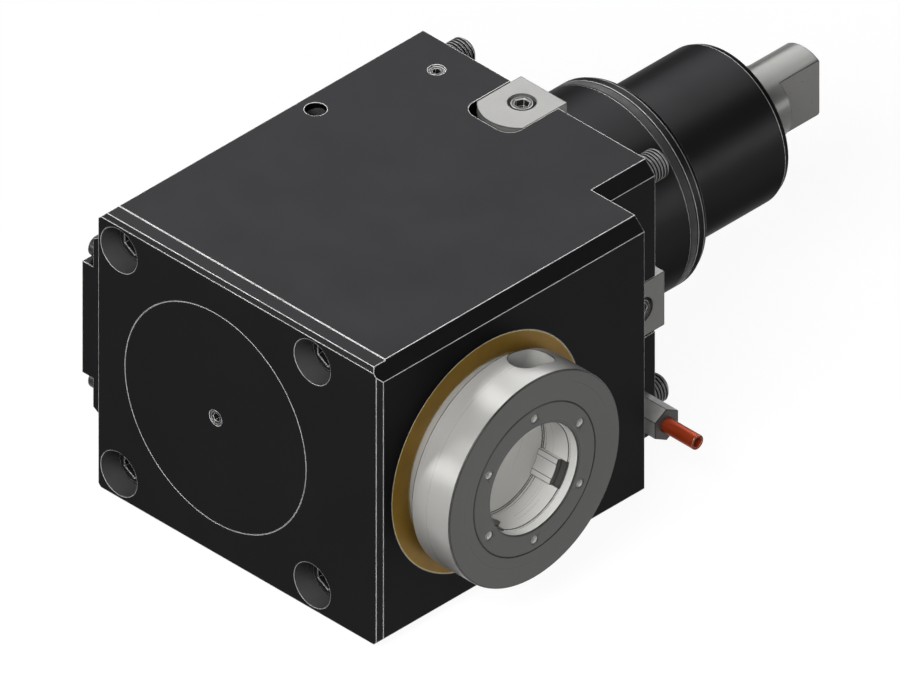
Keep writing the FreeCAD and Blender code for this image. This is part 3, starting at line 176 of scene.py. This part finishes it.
# Socket head screws, in millimetres: radius of the thread, radius and height of the head,
# width across the flats of its hexagon and the hexagon's depth. Then the place of the key
# screws along Y, and their length under the head.
MOUNTING_SCREW = dict(radius=6.0, head=9.0, height=12.0, hexagon=10.0, depth=6.0)
COVER_SCREW = dict(radius=2.5, head=4.25, height=5.0, hexagon=4.0, depth=2.6)
KEY_SCREW = dict(radius=3.0, head=4.9, height=6.0, hexagon=5.0, depth=3.0)
KEY_SCREW_Y = -6.5
KEY_SCREW_GRIP = 11.6

# Their threads: pitch and length in millimetres, depth as a share of the pitch, and the
# profile of one turn as shares of the pitch along the screw and of the depth below the crest
PLAIN_SHANK = (0.0, 0.0)
MOUNTING_THREAD = (1.5, 36.0)
THREAD_DEPTH = 0.5
THREAD_PROFILE = [(0.0, 1.0), (0.3, 0.0), (0.6, 0.0), (0.9, 1.0)]
THREAD_SEGMENTS = 40

# Their shape: rim and knurl as shares of the head's radius, the tip's chamfer and the fillet
# under the head as shares of the thread's radius, the thread's lead-in as a share of the tip,
# and the drill point under the hexagon as a share of its width.
# In millimetres: the chamfer of the hexagon, the radius that stands for a point, and the
# distances within which vertices are merged and slivers dissolved.
RIM, KNURL = 0.08, 0.01
TIP, FILLET_WIDTH, FILLET_LENGTH = 0.2, 0.06, 0.08
LEAD_IN, DRILL_POINT = 1.3, 0.3
HEXAGON_CHAMFER = 0.25
POINT = 0.001
SCREW_SEGMENTS = 96
SCREW_WELD, SCREW_SLIVER = 0.004, 0.002

# Counterbores of the mounting screws: the hole walls lie just inside the radius
COUNTERBORE_RADIUS = 10.4 * MM
MOUNTING_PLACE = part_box("mounting_screws")[1].x - MOUNTING_SCREW["head"] * MM

joint_at = {joint["child"]: Vector(joint["pos_m"]) for joint in frame["joints"]}
SPINDLE_AXIS = ("X", joint_at["spindle"])
SHAFT_AXIS = ("Y", joint_at["drive_shaft"])


def linear(*levels):
    """A colour as the shader takes it, from levels of 0 to 255."""
    rgb = [level / 255 for level in levels]
    return tuple(c / 12.92 if c < 0.04045 else ((c + 0.055) / 1.055) ** 2.4 for c in rgb) + (1.0,)


def math_node(tree, operation, *values):
    """The output of a new math node. A value is a number or the output of another node."""
    node = tree.nodes.new("ShaderNodeMath")
    node.operation = operation
    for socket, value in zip(node.inputs, values):
        if hasattr(value, "links"):
            tree.links.new(value, socket)
        else:
            socket.default_value = value
    return node.outputs[0]


def range_node(tree, value, low, high, to_low=0.0, to_high=1.0):
    """The output of a new node that takes low to to_low and high to to_high."""
    node = tree.nodes.new("ShaderNodeMapRange")
    tree.links.new(value, node.inputs["Value"])
    ends = {"From Min": low, "From Max": high, "To Min": to_low, "To Max": to_high}
    for name, number in ends.items():
        node.inputs[name].default_value = number
    return node.outputs[0]


class Look:
    """A material on one Principled shader, with short ways to add the nodes that vary it."""

    def __init__(self, name, colour, roughness, metallic=0.0, ior=1.45, edge_tint=1.0):
        self.material = bpy.data.materials.new(name)
        self.material.use_nodes = True
        self.tree = self.material.node_tree
        self.shader = self.tree.nodes["Principled BSDF"]
        self.colour = linear(*colour)
        self.set("Base Color", self.colour)
        self.set("Roughness", roughness)
        self.set("Metallic", metallic)
        self.set("IOR", ior)
        self.set("Specular Tint", (edge_tint, edge_tint, edge_tint, 1))
        self.roughness = roughness
        self.place = self.add("ShaderNodeTexCoord").outputs["Object"]
        self.height = None

    def set(self, socket, value):
        self.shader.inputs[socket].default_value = value

    def add(self, kind, links=(), **values):
        """A node: values sets its properties and sockets, links joins sockets to outputs."""
        node = self.tree.nodes.new(kind)
        for name, value in values.items():
            if hasattr(node, name):
                setattr(node, name, value)
            else:
                node.inputs[name.title()].default_value = value
        for socket, output in dict(links).items():
            self.tree.links.new(output, node.inputs[socket])
        return node

    def math(self, operation, *values):
        return math_node(self.tree, operation, *values)

    def split(self, vector):
        """The X, Y and Z of a vector."""
        return self.add("ShaderNodeSeparateXYZ", {0: vector}).outputs

    def stretched(self, scale):
        """The place on the piece with each axis scaled, for lines that run one way."""
        node = self.add("ShaderNodeMapping", {"Vector": self.place})
        node.inputs["Scale"].default_value = scale
        return node.outputs[0]

    def turned(self, axis):
        """The place as (along the axis, radius, a little of the angle).

        Marks that follow it run round the axis."""
        letter, centre = axis
        moved = self.add("ShaderNodeVectorMath", {0: self.place}, operation="SUBTRACT")
        moved.inputs[1].default_value = centre
        split = self.split(moved.outputs[0])
        across = [split[name] for name in "XYZ" if name != letter]
        squares = [self.math("MULTIPLY", side, side) for side in across]
        radius = self.math("SQRT", self.math("ADD", *squares))
        angle_share = 0.0002
        angle = self.math("MULTIPLY", self.math("ARCTAN2", *across), angle_share)
        node = self.add("ShaderNodeCombineXYZ", {"X": split[letter], "Y": radius, "Z": angle})
        return node.outputs[0]

    def noise(self, scale, detail, vector=None):
        """Cloudy noise of 0 to 1: scale is how many blotches fit in a metre."""
        node = self.add("ShaderNodeTexNoise", {"Vector": vector or self.place},
                        scale=scale, detail=detail, roughness=0.55)
        return node.outputs["Fac"]

    def vary_colour(self, value, other, low, high):
        """Mixes the colour so far towards another: not at all at low, wholly at high."""
        node = self.add("ShaderNodeMix", data_type="RGBA")
        factor, first, second = node.inputs[0], node.inputs[6], node.inputs[7]
        self.tree.links.new(range_node(self.tree, value, low, high), factor)
        before = self.shader.inputs["Base Color"].links
        if before:
            self.tree.links.new(before[0].from_socket, first)
        else:
            first.default_value = self.colour
        second.default_value = linear(*other)
        self.tree.links.new(node.outputs[2], self.shader.inputs["Base Color"])

    def vary_roughness(self, value, spread):
        """Spreads the roughness round its own level, over the middle range of the noise."""
        low, high = 0.3, 0.7
        output = range_node(self.tree, value, low, high,
                            self.roughness - spread, self.roughness + spread)
        self.tree.links.new(output, self.shader.inputs["Roughness"])

    def in_counterbores(self):
        """1 inside the four counterbores from just behind the block's front face, else 0."""
        split = self.split(self.place)
        across = [self.math("SUBTRACT", self.math("ABSOLUTE", split[name]), MOUNTING_PLACE)
                  for name in "XZ"]
        square = self.math("ADD", *[self.math("MULTIPLY", side, side) for side in across])
        within = self.math("LESS_THAN", square, COUNTERBORE_RADIUS * COUNTERBORE_RADIUS)
        return self.math("MULTIPLY", within, self.math("GREATER_THAN", split["Y"], BLOCK_FRONT))

    def line_edges(self, radius, colour):
        """Colours the strip along each edge, where a rounded normal leaves the true one."""
        rounded = self.add("ShaderNodeBevel", samples=4, radius=radius).outputs[0]
        true = self.add("ShaderNodeNewGeometry").outputs["Normal"]
        cosine = self.add("ShaderNodeVectorMath", {0: rounded, 1: true}, operation="DOT_PRODUCT")
        self.vary_colour(cosine.outputs["Value"], colour, LINE_BEGINS, LINE_FULL)

    def bump(self, value, depth, strength=1.0):
        """Adds relief: depth is the height of the marks in metres."""
        node = self.add("ShaderNodeBump", {"Height": value}, strength=strength, distance=depth)
        if self.height:
            self.tree.links.new(self.height, node.inputs["Normal"])
        self.height = node.outputs[0]
        self.tree.links.new(self.height, self.shader.inputs["Normal"])


def black_steel():
    """Black oxide over fine milling: near black, satin, with faint cloudy patches.

    The counterbores of the mounting screws are matt dark grey, lighter than the black, so that
    their walls show: painted light."""
    look = Look("black_steel", (33, 33, 34), roughness=0.4, metallic=1.0, edge_tint=0.45)
    look.vary_colour(look.noise(scale=28, detail=4), (35, 35, 36), low=0.35, high=0.75)
    # Painted light: the counterbore walls turn a lighter matt grey so that they show
    inside = look.in_counterbores()
    switch = (0.4, 0.6)
    look.vary_colour(inside, COUNTERBORE_PAINTED_LIGHT, *switch)
    metallic = range_node(look.tree, inside, *switch, to_low=1.0, to_high=0.0)
    look.tree.links.new(metallic, look.shader.inputs["Metallic"])
    look.line_edges(EDGE_WEAR, WORN_STEEL)
    look.vary_roughness(look.noise(scale=60, detail=4), spread=0.02)
    look.bump(look.noise(scale=5200, detail=2), GRAIN)
    milling = look.noise(scale=700, detail=3, vector=look.stretched((0.1, 1, 1)))
    look.bump(milling, MILLING_MARKS, strength=0.5)
    return look


def worn_edge():
    """Bare steel where handling has worn the black from an edge."""
    look = Look("worn_edge", WORN_STEEL, roughness=0.45, metallic=0.35)
    look.vary_colour(look.noise(scale=140, detail=4), (120, 120, 120), low=0.45, high=0.8)
    look.vary_roughness(look.noise(scale=900, detail=2), spread=0.1)
    return look


def oil_and_shade_edge():
    """The dark line of oil and painted shade along an edge of bare steel."""
    look = Look("oil_and_shade_edge", OIL_AND_SHADE_STEEL, roughness=0.35, metallic=0.2)
    look.vary_colour(look.noise(scale=300, detail=3), (52, 50, 48), low=0.45, high=0.8)
    look.vary_roughness(look.noise(scale=900, detail=2), spread=0.1)
    return look


def rubber():
    """Matt black seal rubber with greyer patches."""
    look = Look("black_rubber", (20, 20, 21), roughness=0.6)
    look.vary_colour(look.noise(scale=90, detail=4), (38, 37, 36), low=0.5, high=0.8)
    look.vary_roughness(look.noise(scale=300, detail=3), spread=0.1)
    look.bump(look.noise(scale=4000, detail=2), RUBBER_GRAIN)
    return look


def black_screw():
    """Oiled black screw steel, a little glossier than the housing."""
    look = Look("black_screw", (34, 34, 35), roughness=0.33, metallic=0.25, ior=1.3)
    look.vary_colour(look.noise(scale=260, detail=4), (48, 47, 46), low=0.5, high=0.85)
    look.line_edges(SCREW_WEAR, WORN_STEEL)
    look.vary_roughness(look.noise(scale=600, detail=3), spread=0.08)
    look.bump(look.noise(scale=3600, detail=2), GRAIN)
    return look


def bronze():
    """Turned bearing bronze with light edges."""
    look = Look("bearing_bronze", (134, 104, 38), roughness=0.42, metallic=0.3, ior=1.3)
    marks = look.noise(scale=2400, detail=3, vector=on_spindle(look))
    look.vary_colour(look.noise(scale=70, detail=4), (120, 92, 33), low=0.35, high=0.75)
    look.line_edges(BARE_METAL_LINE, (214, 196, 140))
    look.vary_roughness(marks, spread=0.08)
    look.bump(marks, GRAIN)
    return look


def copper():
    """Drawn copper tube with light edges and a darker end face, which is painted shade."""
    look = Look("copper", (176, 66, 32), roughness=0.42, metallic=0.35, ior=1.3)
    drawn = look.noise(scale=2600, detail=3, vector=look.stretched((0.04, 1, 1)))
    look.vary_colour(look.noise(scale=160, detail=4), (158, 57, 28), low=0.4, high=0.8)
    # Painted shade: the end face of the tube is darker
    look.vary_colour(look.split(look.place)["X"], (112, 40, 20), TUBE_END, TUBE_END + FADE)
    look.line_edges(COPPER_LINE, (240, 190, 170))
    look.vary_roughness(drawn, spread=0.08)
    look.bump(drawn, GRAIN)
    return look


def plated_steel():
    """Pale plated steel whose end face is darker, as painted shade."""
    look = Look("plated_steel", (198, 198, 195), roughness=0.36, metallic=0.12, ior=1.3)
    look.vary_colour(look.noise(scale=180, detail=3), (188, 188, 185), low=0.4, high=0.75)
    # Painted shade: the end face of the fitting is darker
    look.vary_colour(look.split(look.place)["X"], PAINTED_SHADE_STEEL, FITTING_END, FITTING_END + FADE)
    # Dark edge lines of oil and painted shade
    look.line_edges(BARE_METAL_LINE, OIL_AND_SHADE_STEEL)
    look.vary_roughness(look.noise(scale=420, detail=3), spread=0.08)
    drawn = look.noise(scale=1500, detail=3, vector=look.stretched((0.08, 1, 1)))
    look.bump(drawn, GRAIN)
    return look


def steel(name, marks_of, colour=(128, 127, 124), roughness=0.3, depth=STEEL_MARKS,
          painted_shade_from=None, painted_light_within=None):
    """Bare steel with the marks of its last cut; marks_of gives the vector that they follow.

    It can be painted darker from a place along its axis on, as painted shade, and painted lighter
    within a radius of it, as painted light."""
    look = Look(name, colour, roughness, metallic=0.12)
    follow = marks_of(look)
    darker = [level * 0.95 for level in colour]
    look.vary_colour(look.noise(scale=55, detail=4), darker, low=0.35, high=0.8)
    place = look.split(follow)
    # Painted light: lighter within the radius
    if painted_light_within:
        look.vary_colour(place["Y"], PAINTED_LIGHT_STEEL, painted_light_within, painted_light_within - FADE)
    # Painted shade: darker from the place along the axis on
    if painted_shade_from:
        look.vary_colour(place["X"], PAINTED_SHADE_STEEL, painted_shade_from, painted_shade_from + FADE)
    # Dark edge lines of oil and painted shade
    look.line_edges(BARE_METAL_LINE, OIL_AND_SHADE_STEEL)
    look.vary_roughness(look.noise(scale=900, detail=3, vector=follow), spread=0.03)
    look.bump(look.noise(scale=7000, detail=2, vector=follow), depth)
    return look


def bearing_cage():
    """Brass of the roller cages."""
    look = Look("bearing_brass", (176, 138, 66), roughness=0.35, metallic=0.9)
    look.vary_colour(look.noise(scale=120, detail=3), (140, 104, 46), low=0.4, high=0.8)
    look.vary_roughness(look.noise(scale=500, detail=3), spread=0.08)
    look.bump(look.noise(scale=2500, detail=2), GRAIN)
    return look


def on_spindle(look):
    return look.turned(SPINDLE_AXIS)


def on_shaft(look):
    return look.turned(SHAFT_AXIS)


def lengthwise(look):
    return look.stretched((1, 0.04, 1))


# Finishes by the slot of a node, then the ones that a body or a piece has in its place
LOOKS = {
    "black_steel": black_steel(),
    "rubber": rubber(),
    "black_screw": black_screw(),
    "bronze": bronze(),
    "copper": copper(),
    "plated_steel": plated_steel(),
    "ground_steel": steel("ground_steel_keys", lengthwise),
    "gear_steel": steel("gear_steel", on_spindle, (104, 103, 102), roughness=0.36),
    "nut_steel": steel("nut_steel", on_shaft, (84, 84, 86), roughness=0.4),
    "bearing_steel": steel("bearing_steel", on_shaft, (150, 150, 151), roughness=0.18,
                           depth=BEARING_MARKS),
    "bearing_cage": bearing_cage(),
}
GROUND_STEEL_OF_BODY = {
    # The spindle's nose face is painted darker, as painted shade, and its tool socket lighter, as
    # painted light
    "spindle": steel("ground_steel_spindle", on_spindle, (170, 169, 166),
                     painted_shade_from=NOSE_FACE, painted_light_within=SOCKET_RADIUS),
    "drive_shaft": steel("ground_steel_shaft", on_shaft),
}
LOOK_OF_PIECE = {
    # The face ring and the drive dogs are painted near white, as painted light, and their faces
    # towards +X darker, as painted shade
    "spindle_face_ring": steel("ground_steel_face_ring", on_spindle, PAINTED_LIGHT_STEEL,
                               painted_shade_from=NOSE_FACE),
    "drive_dogs": steel("ground_steel_dogs", on_spindle, PAINTED_LIGHT_STEEL, painted_shade_from=DOG_FRONT),
}
WORN_EDGE, OIL_AND_SHADE_EDGE = worn_edge(), oil_and_shade_edge()

# What lies on the edge breaks of a slot, and how wide they are
EDGES = {
    "black_steel": (WORN_EDGE, BLACK_EDGE),
    "black_screw": (WORN_EDGE, SCREW_EDGE),
    # The edge breaks of the bare steel carry the dark line of oil and painted shade
    "ground_steel": (OIL_AND_SHADE_EDGE, DRAWN_EDGE),
    "plated_steel": (OIL_AND_SHADE_EDGE, DRAWN_EDGE),
}
PLAIN_EDGE = (None, STEEL_EDGE)


def dress(piece, look, edge_look, width):
    """Gives a piece its material, breaks its sharp edges and smooths its shading.

    An edge look, if there is one, covers the edge breaks."""
    piece.data.materials.clear()
    piece.data.materials.append(look.material)
    if edge_look:
        piece.data.materials.append(edge_look.material)
    weld = piece.modifiers.new("weld", "WELD")
    weld.merge_threshold = WELD
    bevel = piece.modifiers.new("edge_break", "BEVEL")
    bevel.width = width
    bevel.limit_method = "ANGLE"
    bevel.angle_limit = LEAD_ANGLE if piece.name in SHALLOW_PIECES else SHARP_ANGLE
    bevel.segments = 1
    bevel.use_clamp_overlap = False
    bevel.material = 1 if edge_look else -1
    normals = piece.modifiers.new("normals", "WEIGHTED_NORMAL")
    normals.keep_sharp = False


def dress_cad_nodes():
    for part in frame["record"]["subparts"]:
        name, slot = part["node"], part["material_slot"]
        piece, look = frame["nodes"][name], LOOKS[slot]
        body = body_of(piece)[0]
        if slot == "ground_steel":
            look = GROUND_STEEL_OF_BODY.get(body, look)
        look = LOOK_OF_PIECE.get(name, look)
        dress(piece, look, *EDGES.get(slot, PLAIN_EDGE))


def link_new(name, data):
    """A new object of the scene."""
    thing = bpy.data.objects.new(name, data)
    bpy.context.scene.collection.objects.link(thing)
    return thing


def round_point(radius, angle, z):
    return radius * math.cos(angle), radius * math.sin(angle), z


def grid_faces(rows, columns):
    """Faces of a grid of vertices laid out row by row, closed round the columns."""
    return [(row * columns + i, row * columns + (i + 1) % columns,
             (row + 1) * columns + (i + 1) % columns, (row + 1) * columns + i)
            for row in range(rows - 1) for i in range(columns)]


def hex_radius(across_flats, angle):
    """Distance from the middle of a hexagon to its side, at an angle."""
    off = (angle + math.pi / 6) % (math.pi / 3) - math.pi / 6
    return across_flats / 2 / math.cos(off)


def screw_mesh(sizes, length, pitch, thread_length):
    """A socket head screw along +Z with the seat of its head at z 0, in millimetres.

    It is a stack of sections from the head's socket to the tip, and a thread if it has a
    pitch. A section has a z and gives the radius at an angle and the number of a vertex."""
    r, head, hexagon = sizes["radius"], sizes["head"], sizes["hexagon"]
    top, socket_floor = -sizes["height"], -sizes["height"] + sizes["depth"]
    rim, knurl, tip, drill_point = RIM * head, KNURL * head, TIP * r, DRILL_POINT * hexagon

    def flat(radius):
        return lambda angle, i: radius

    def hexagonal(across_flats):
        return lambda angle, i: hex_radius(across_flats, angle)

    def knurled(angle, i):
        return head - knurl * (i % 2)

    socket = [
        (socket_floor + drill_point, flat(POINT)),
        (socket_floor, hexagonal(hexagon)),
        (top + HEXAGON_CHAMFER, hexagonal(hexagon)),
        (top, hexagonal(hexagon + 2 * HEXAGON_CHAMFER)),
    ]
    head_side = [
        (top, flat(head - 2.2 * rim)), (top + 1.2 * rim, flat(head - knurl)),
        (top + 1.6 * rim, knurled), (-2.5 * rim, knurled), (-2.0 * rim, flat(head - knurl)),
        (-rim, flat(head)), (0, flat(head)),
    ]
    shank = [(0, flat(r * (1 + FILLET_WIDTH))), (FILLET_LENGTH * r, flat(r))]
    thread_start = length - thread_length
    if pitch:
        shank += [(thread_start - pitch, flat(r)), (thread_start, flat(r - THREAD_DEPTH * pitch))]
    else:
        shank += [(length - tip, flat(r)), (length, flat(r - tip)), (length, flat(POINT))]

    sections = socket + head_side + shank
    mesh = bmesh.new()
    verts = []
    for z, radius_at in sections:
        for i in range(SCREW_SEGMENTS):
            angle = 2 * math.pi * i / SCREW_SEGMENTS
            verts.append(mesh.verts.new(round_point(radius_at(angle, i), angle, z)))
    for face in grid_faces(len(sections), SCREW_SEGMENTS):
        mesh.faces.new([verts[i] for i in face])
    if pitch:
        add_thread(mesh, r, pitch, thread_start - pitch / 2, length, LEAD_IN * tip)
    bmesh.ops.remove_doubles(mesh, verts=mesh.verts, dist=SCREW_WELD)
    bmesh.ops.dissolve_degenerate(mesh, edges=mesh.edges, dist=SCREW_SLIVER)
    bmesh.ops.recalc_face_normals(mesh, faces=mesh.faces)
    return mesh


def add_thread(mesh, r, pitch, start, end, lead):
    """A V thread along +Z whose flanks are swept round and up by one pitch a turn.

    Its crest falls by the lead towards the end."""
    depth = THREAD_DEPTH * pitch
    columns = len(THREAD_PROFILE)
    steps = math.ceil((end - start) / pitch + 1) * THREAD_SEGMENTS
    grid = []
    for step in range(steps + THREAD_SEGMENTS + 1):
        angle = 2 * math.pi * step / THREAD_SEGMENTS
        for share, below_crest in THREAD_PROFILE:
            z = start + pitch * (step / THREAD_SEGMENTS + share - 1)
            z = min(max(z, start), end)
            radius = min(r - below_crest * depth, r - max(0.0, z - end + lead))
            grid.append(mesh.verts.new(round_point(radius, angle, z)))
    for step in range(steps):
        for column in range(columns):
            a = step * columns + column
            b = a + 1 if column < columns - 1 else (step + THREAD_SEGMENTS) * columns
            mesh.faces.new([grid[a], grid[a + columns], grid[b + columns], grid[b]])
    cap = [round_point(r - lead, 2 * math.pi * i / THREAD_SEGMENTS, end)
           for i in range(THREAD_SEGMENTS)]
    mesh.faces.new([mesh.verts.new(point) for point in cap])


def add_screw(name, sizes, seat, way, length, node, thread=PLAIN_SHANK):
    """Puts a screw with its head seated at a point, in place of its CAD node."""
    mesh = screw_mesh(sizes, length / MM, *thread)
    turn = Vector((0, 0, 1)).rotation_difference(Vector(way)).to_matrix().to_4x4()
    to_part = Matrix.Translation(seat) @ turn @ Matrix.Scale(MM, 4)
    bmesh.ops.transform(mesh, verts=mesh.verts, matrix=to_part)
    data = bpy.data.meshes.new(name)
    mesh.to_mesh(data)
    mesh.free()
    data.shade_smooth()
    piece = link_new(name, data)
    edge_width = SCREW_EDGE if thread == PLAIN_SHANK else THREAD_EDGE
    dress(piece, LOOKS["black_screw"], WORN_EDGE, edge_width)
    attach(piece, "housing")
    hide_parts(node)


def add_mounting_screws():
    low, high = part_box("mounting_screws")
    seat_y = low.y + MOUNTING_SCREW["height"] * MM
    for i, (sx, sz) in enumerate([(1, 1), (1, -1), (-1, 1), (-1, -1)]):
        seat = Vector((sx * MOUNTING_PLACE, seat_y, sz * MOUNTING_PLACE))
        add_screw(f"mounting_screw_{i + 1}", MOUNTING_SCREW, seat, (0, 1, 0),
                  high.y - seat_y, "mounting_screws", MOUNTING_THREAD)


def add_cover_screws():
    low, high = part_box("rear_cover_screws")
    head = COVER_SCREW["head"] * MM
    seat_x = low.x + COVER_SCREW["height"] * MM
    rows, columns = (low.z + head, high.z - head), (low.y + head, high.y - head)
    corners = [(y, z) for y in columns for z in rows]
    for i, (y, z) in enumerate(corners):
        add_screw(f"cover_screw_{i + 1}", COVER_SCREW, Vector((seat_x, y, z)), (1, 0, 0),
                  high.x - seat_x, "rear_cover_screws")


def add_key_screws():
    """One screw in each locating key, towards the shank's axis."""
    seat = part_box("key_screws")[1].z - KEY_SCREW["height"] * MM
    row = Vector((0, KEY_SCREW_Y * MM, 0))
    for i, way in enumerate([(0, 0, -1), (-1, 0, 0), (0, 0, 1), (1, 0, 0)]):
        add_screw(f"key_screw_{i + 1}", KEY_SCREW, row - Vector(way) * seat, way,
                  KEY_SCREW_GRIP * MM, "key_screws")


def face_part(thing, way, distance):
    """Puts a camera or lamp this way and distance from the part, facing it."""
    thing.location = VIEW_CENTRE + way * distance
    thing.rotation_euler = (-way).to_track_quat("-Z", "Y").to_euler()


def add_camera():
    data = bpy.data.cameras.new("camera")
    data.type = "ORTHO"
    data.ortho_scale = VIEW_WIDTH
    data.clip_start, data.clip_end = VIEW_NEAR, VIEW_FAR
    camera = link_new("camera", data)
    face_part(camera, VIEW_BACK, VIEW_DISTANCE)
    bpy.context.scene.camera = camera


def add_softbox(name, azimuth, elevation, distance, width, height, radiance, lights_dull):
    """An area lamp that faces the part. Azimuth is counted from +X towards +Y."""
    a, e = math.radians(azimuth), math.radians(elevation)
    way = Vector((math.cos(e) * math.cos(a), math.cos(e) * math.sin(a), math.sin(e)))
    data = bpy.data.lights.new(name, "AREA")
    data.shape = "RECTANGLE"
    data.size, data.size_y = width, height
    data.energy = radiance * math.pi * width * height
    lamp = link_new(name, data)
    face_part(lamp, way, distance)
    lamp.visible_diffuse = lights_dull


def add_sky():
    """A plain studio sky, brighter towards the upper left of the view."""
    world = bpy.data.worlds.new("studio")
    bpy.context.scene.world = world
    world.use_nodes = True
    nodes, links = world.node_tree.nodes, world.node_tree.links
    cosine = nodes.new("ShaderNodeVectorMath")
    cosine.operation = "DOT_PRODUCT"
    links.new(nodes.new("ShaderNodeTexCoord").outputs["Generated"], cosine.inputs[0])
    cosine.inputs[1].default_value = SKY_BRIGHT_WAY
    strength = range_node(world.node_tree, cosine.outputs["Value"], SKY_DIM_COSINE,
                          SKY_BRIGHT_COSINE, SKY_DIM, SKY_BRIGHT)
    links.new(strength, nodes["Background"].inputs["Strength"])


def floor_material():
    """Glows white to the eye and in reflections, and its weak matt part takes the shadow."""
    material = bpy.data.materials.new("studio_floor")
    material.use_nodes = True
    tree = material.node_tree
    nodes, links = tree.nodes, tree.links
    nodes.clear()
    path = nodes.new("ShaderNodeLightPath").outputs
    seen = math_node(tree, "MAXIMUM", path["Is Camera Ray"], path["Is Glossy Ray"])
    seen = math_node(tree, "MAXIMUM", seen, path["Is Transmission Ray"])
    glow = nodes.new("ShaderNodeEmission")
    links.new(math_node(tree, "MULTIPLY", seen, FLOOR_GLOW), glow.inputs["Strength"])
    matt = nodes.new("ShaderNodeBsdfDiffuse")
    matt.inputs["Color"].default_value = (FLOOR_ALBEDO,) * 3 + (1,)
    both = nodes.new("ShaderNodeAddShader")
    links.new(glow.outputs[0], both.inputs[0])
    links.new(matt.outputs[0], both.inputs[1])
    links.new(both.outputs[0], nodes.new("ShaderNodeOutputMaterial").inputs["Surface"])
    return material


def add_floor():
    mesh = bmesh.new()
    bmesh.ops.create_circle(mesh, cap_ends=True, segments=64, radius=FLOOR_RADIUS)
    data = bpy.data.meshes.new("floor")
    mesh.to_mesh(data)
    mesh.free()
    data.materials.append(floor_material())
    floor = link_new("floor", data)
    floor.location.z = cad_box[0].z


bpy.context.scene.view_settings.view_transform = "Standard"
add_camera()
add_sky()
add_floor()
for softbox in SOFTBOXES:
    add_softbox(*softbox)
dress_cad_nodes()
add_mounting_screws()
add_cover_screws()
add_key_screws()
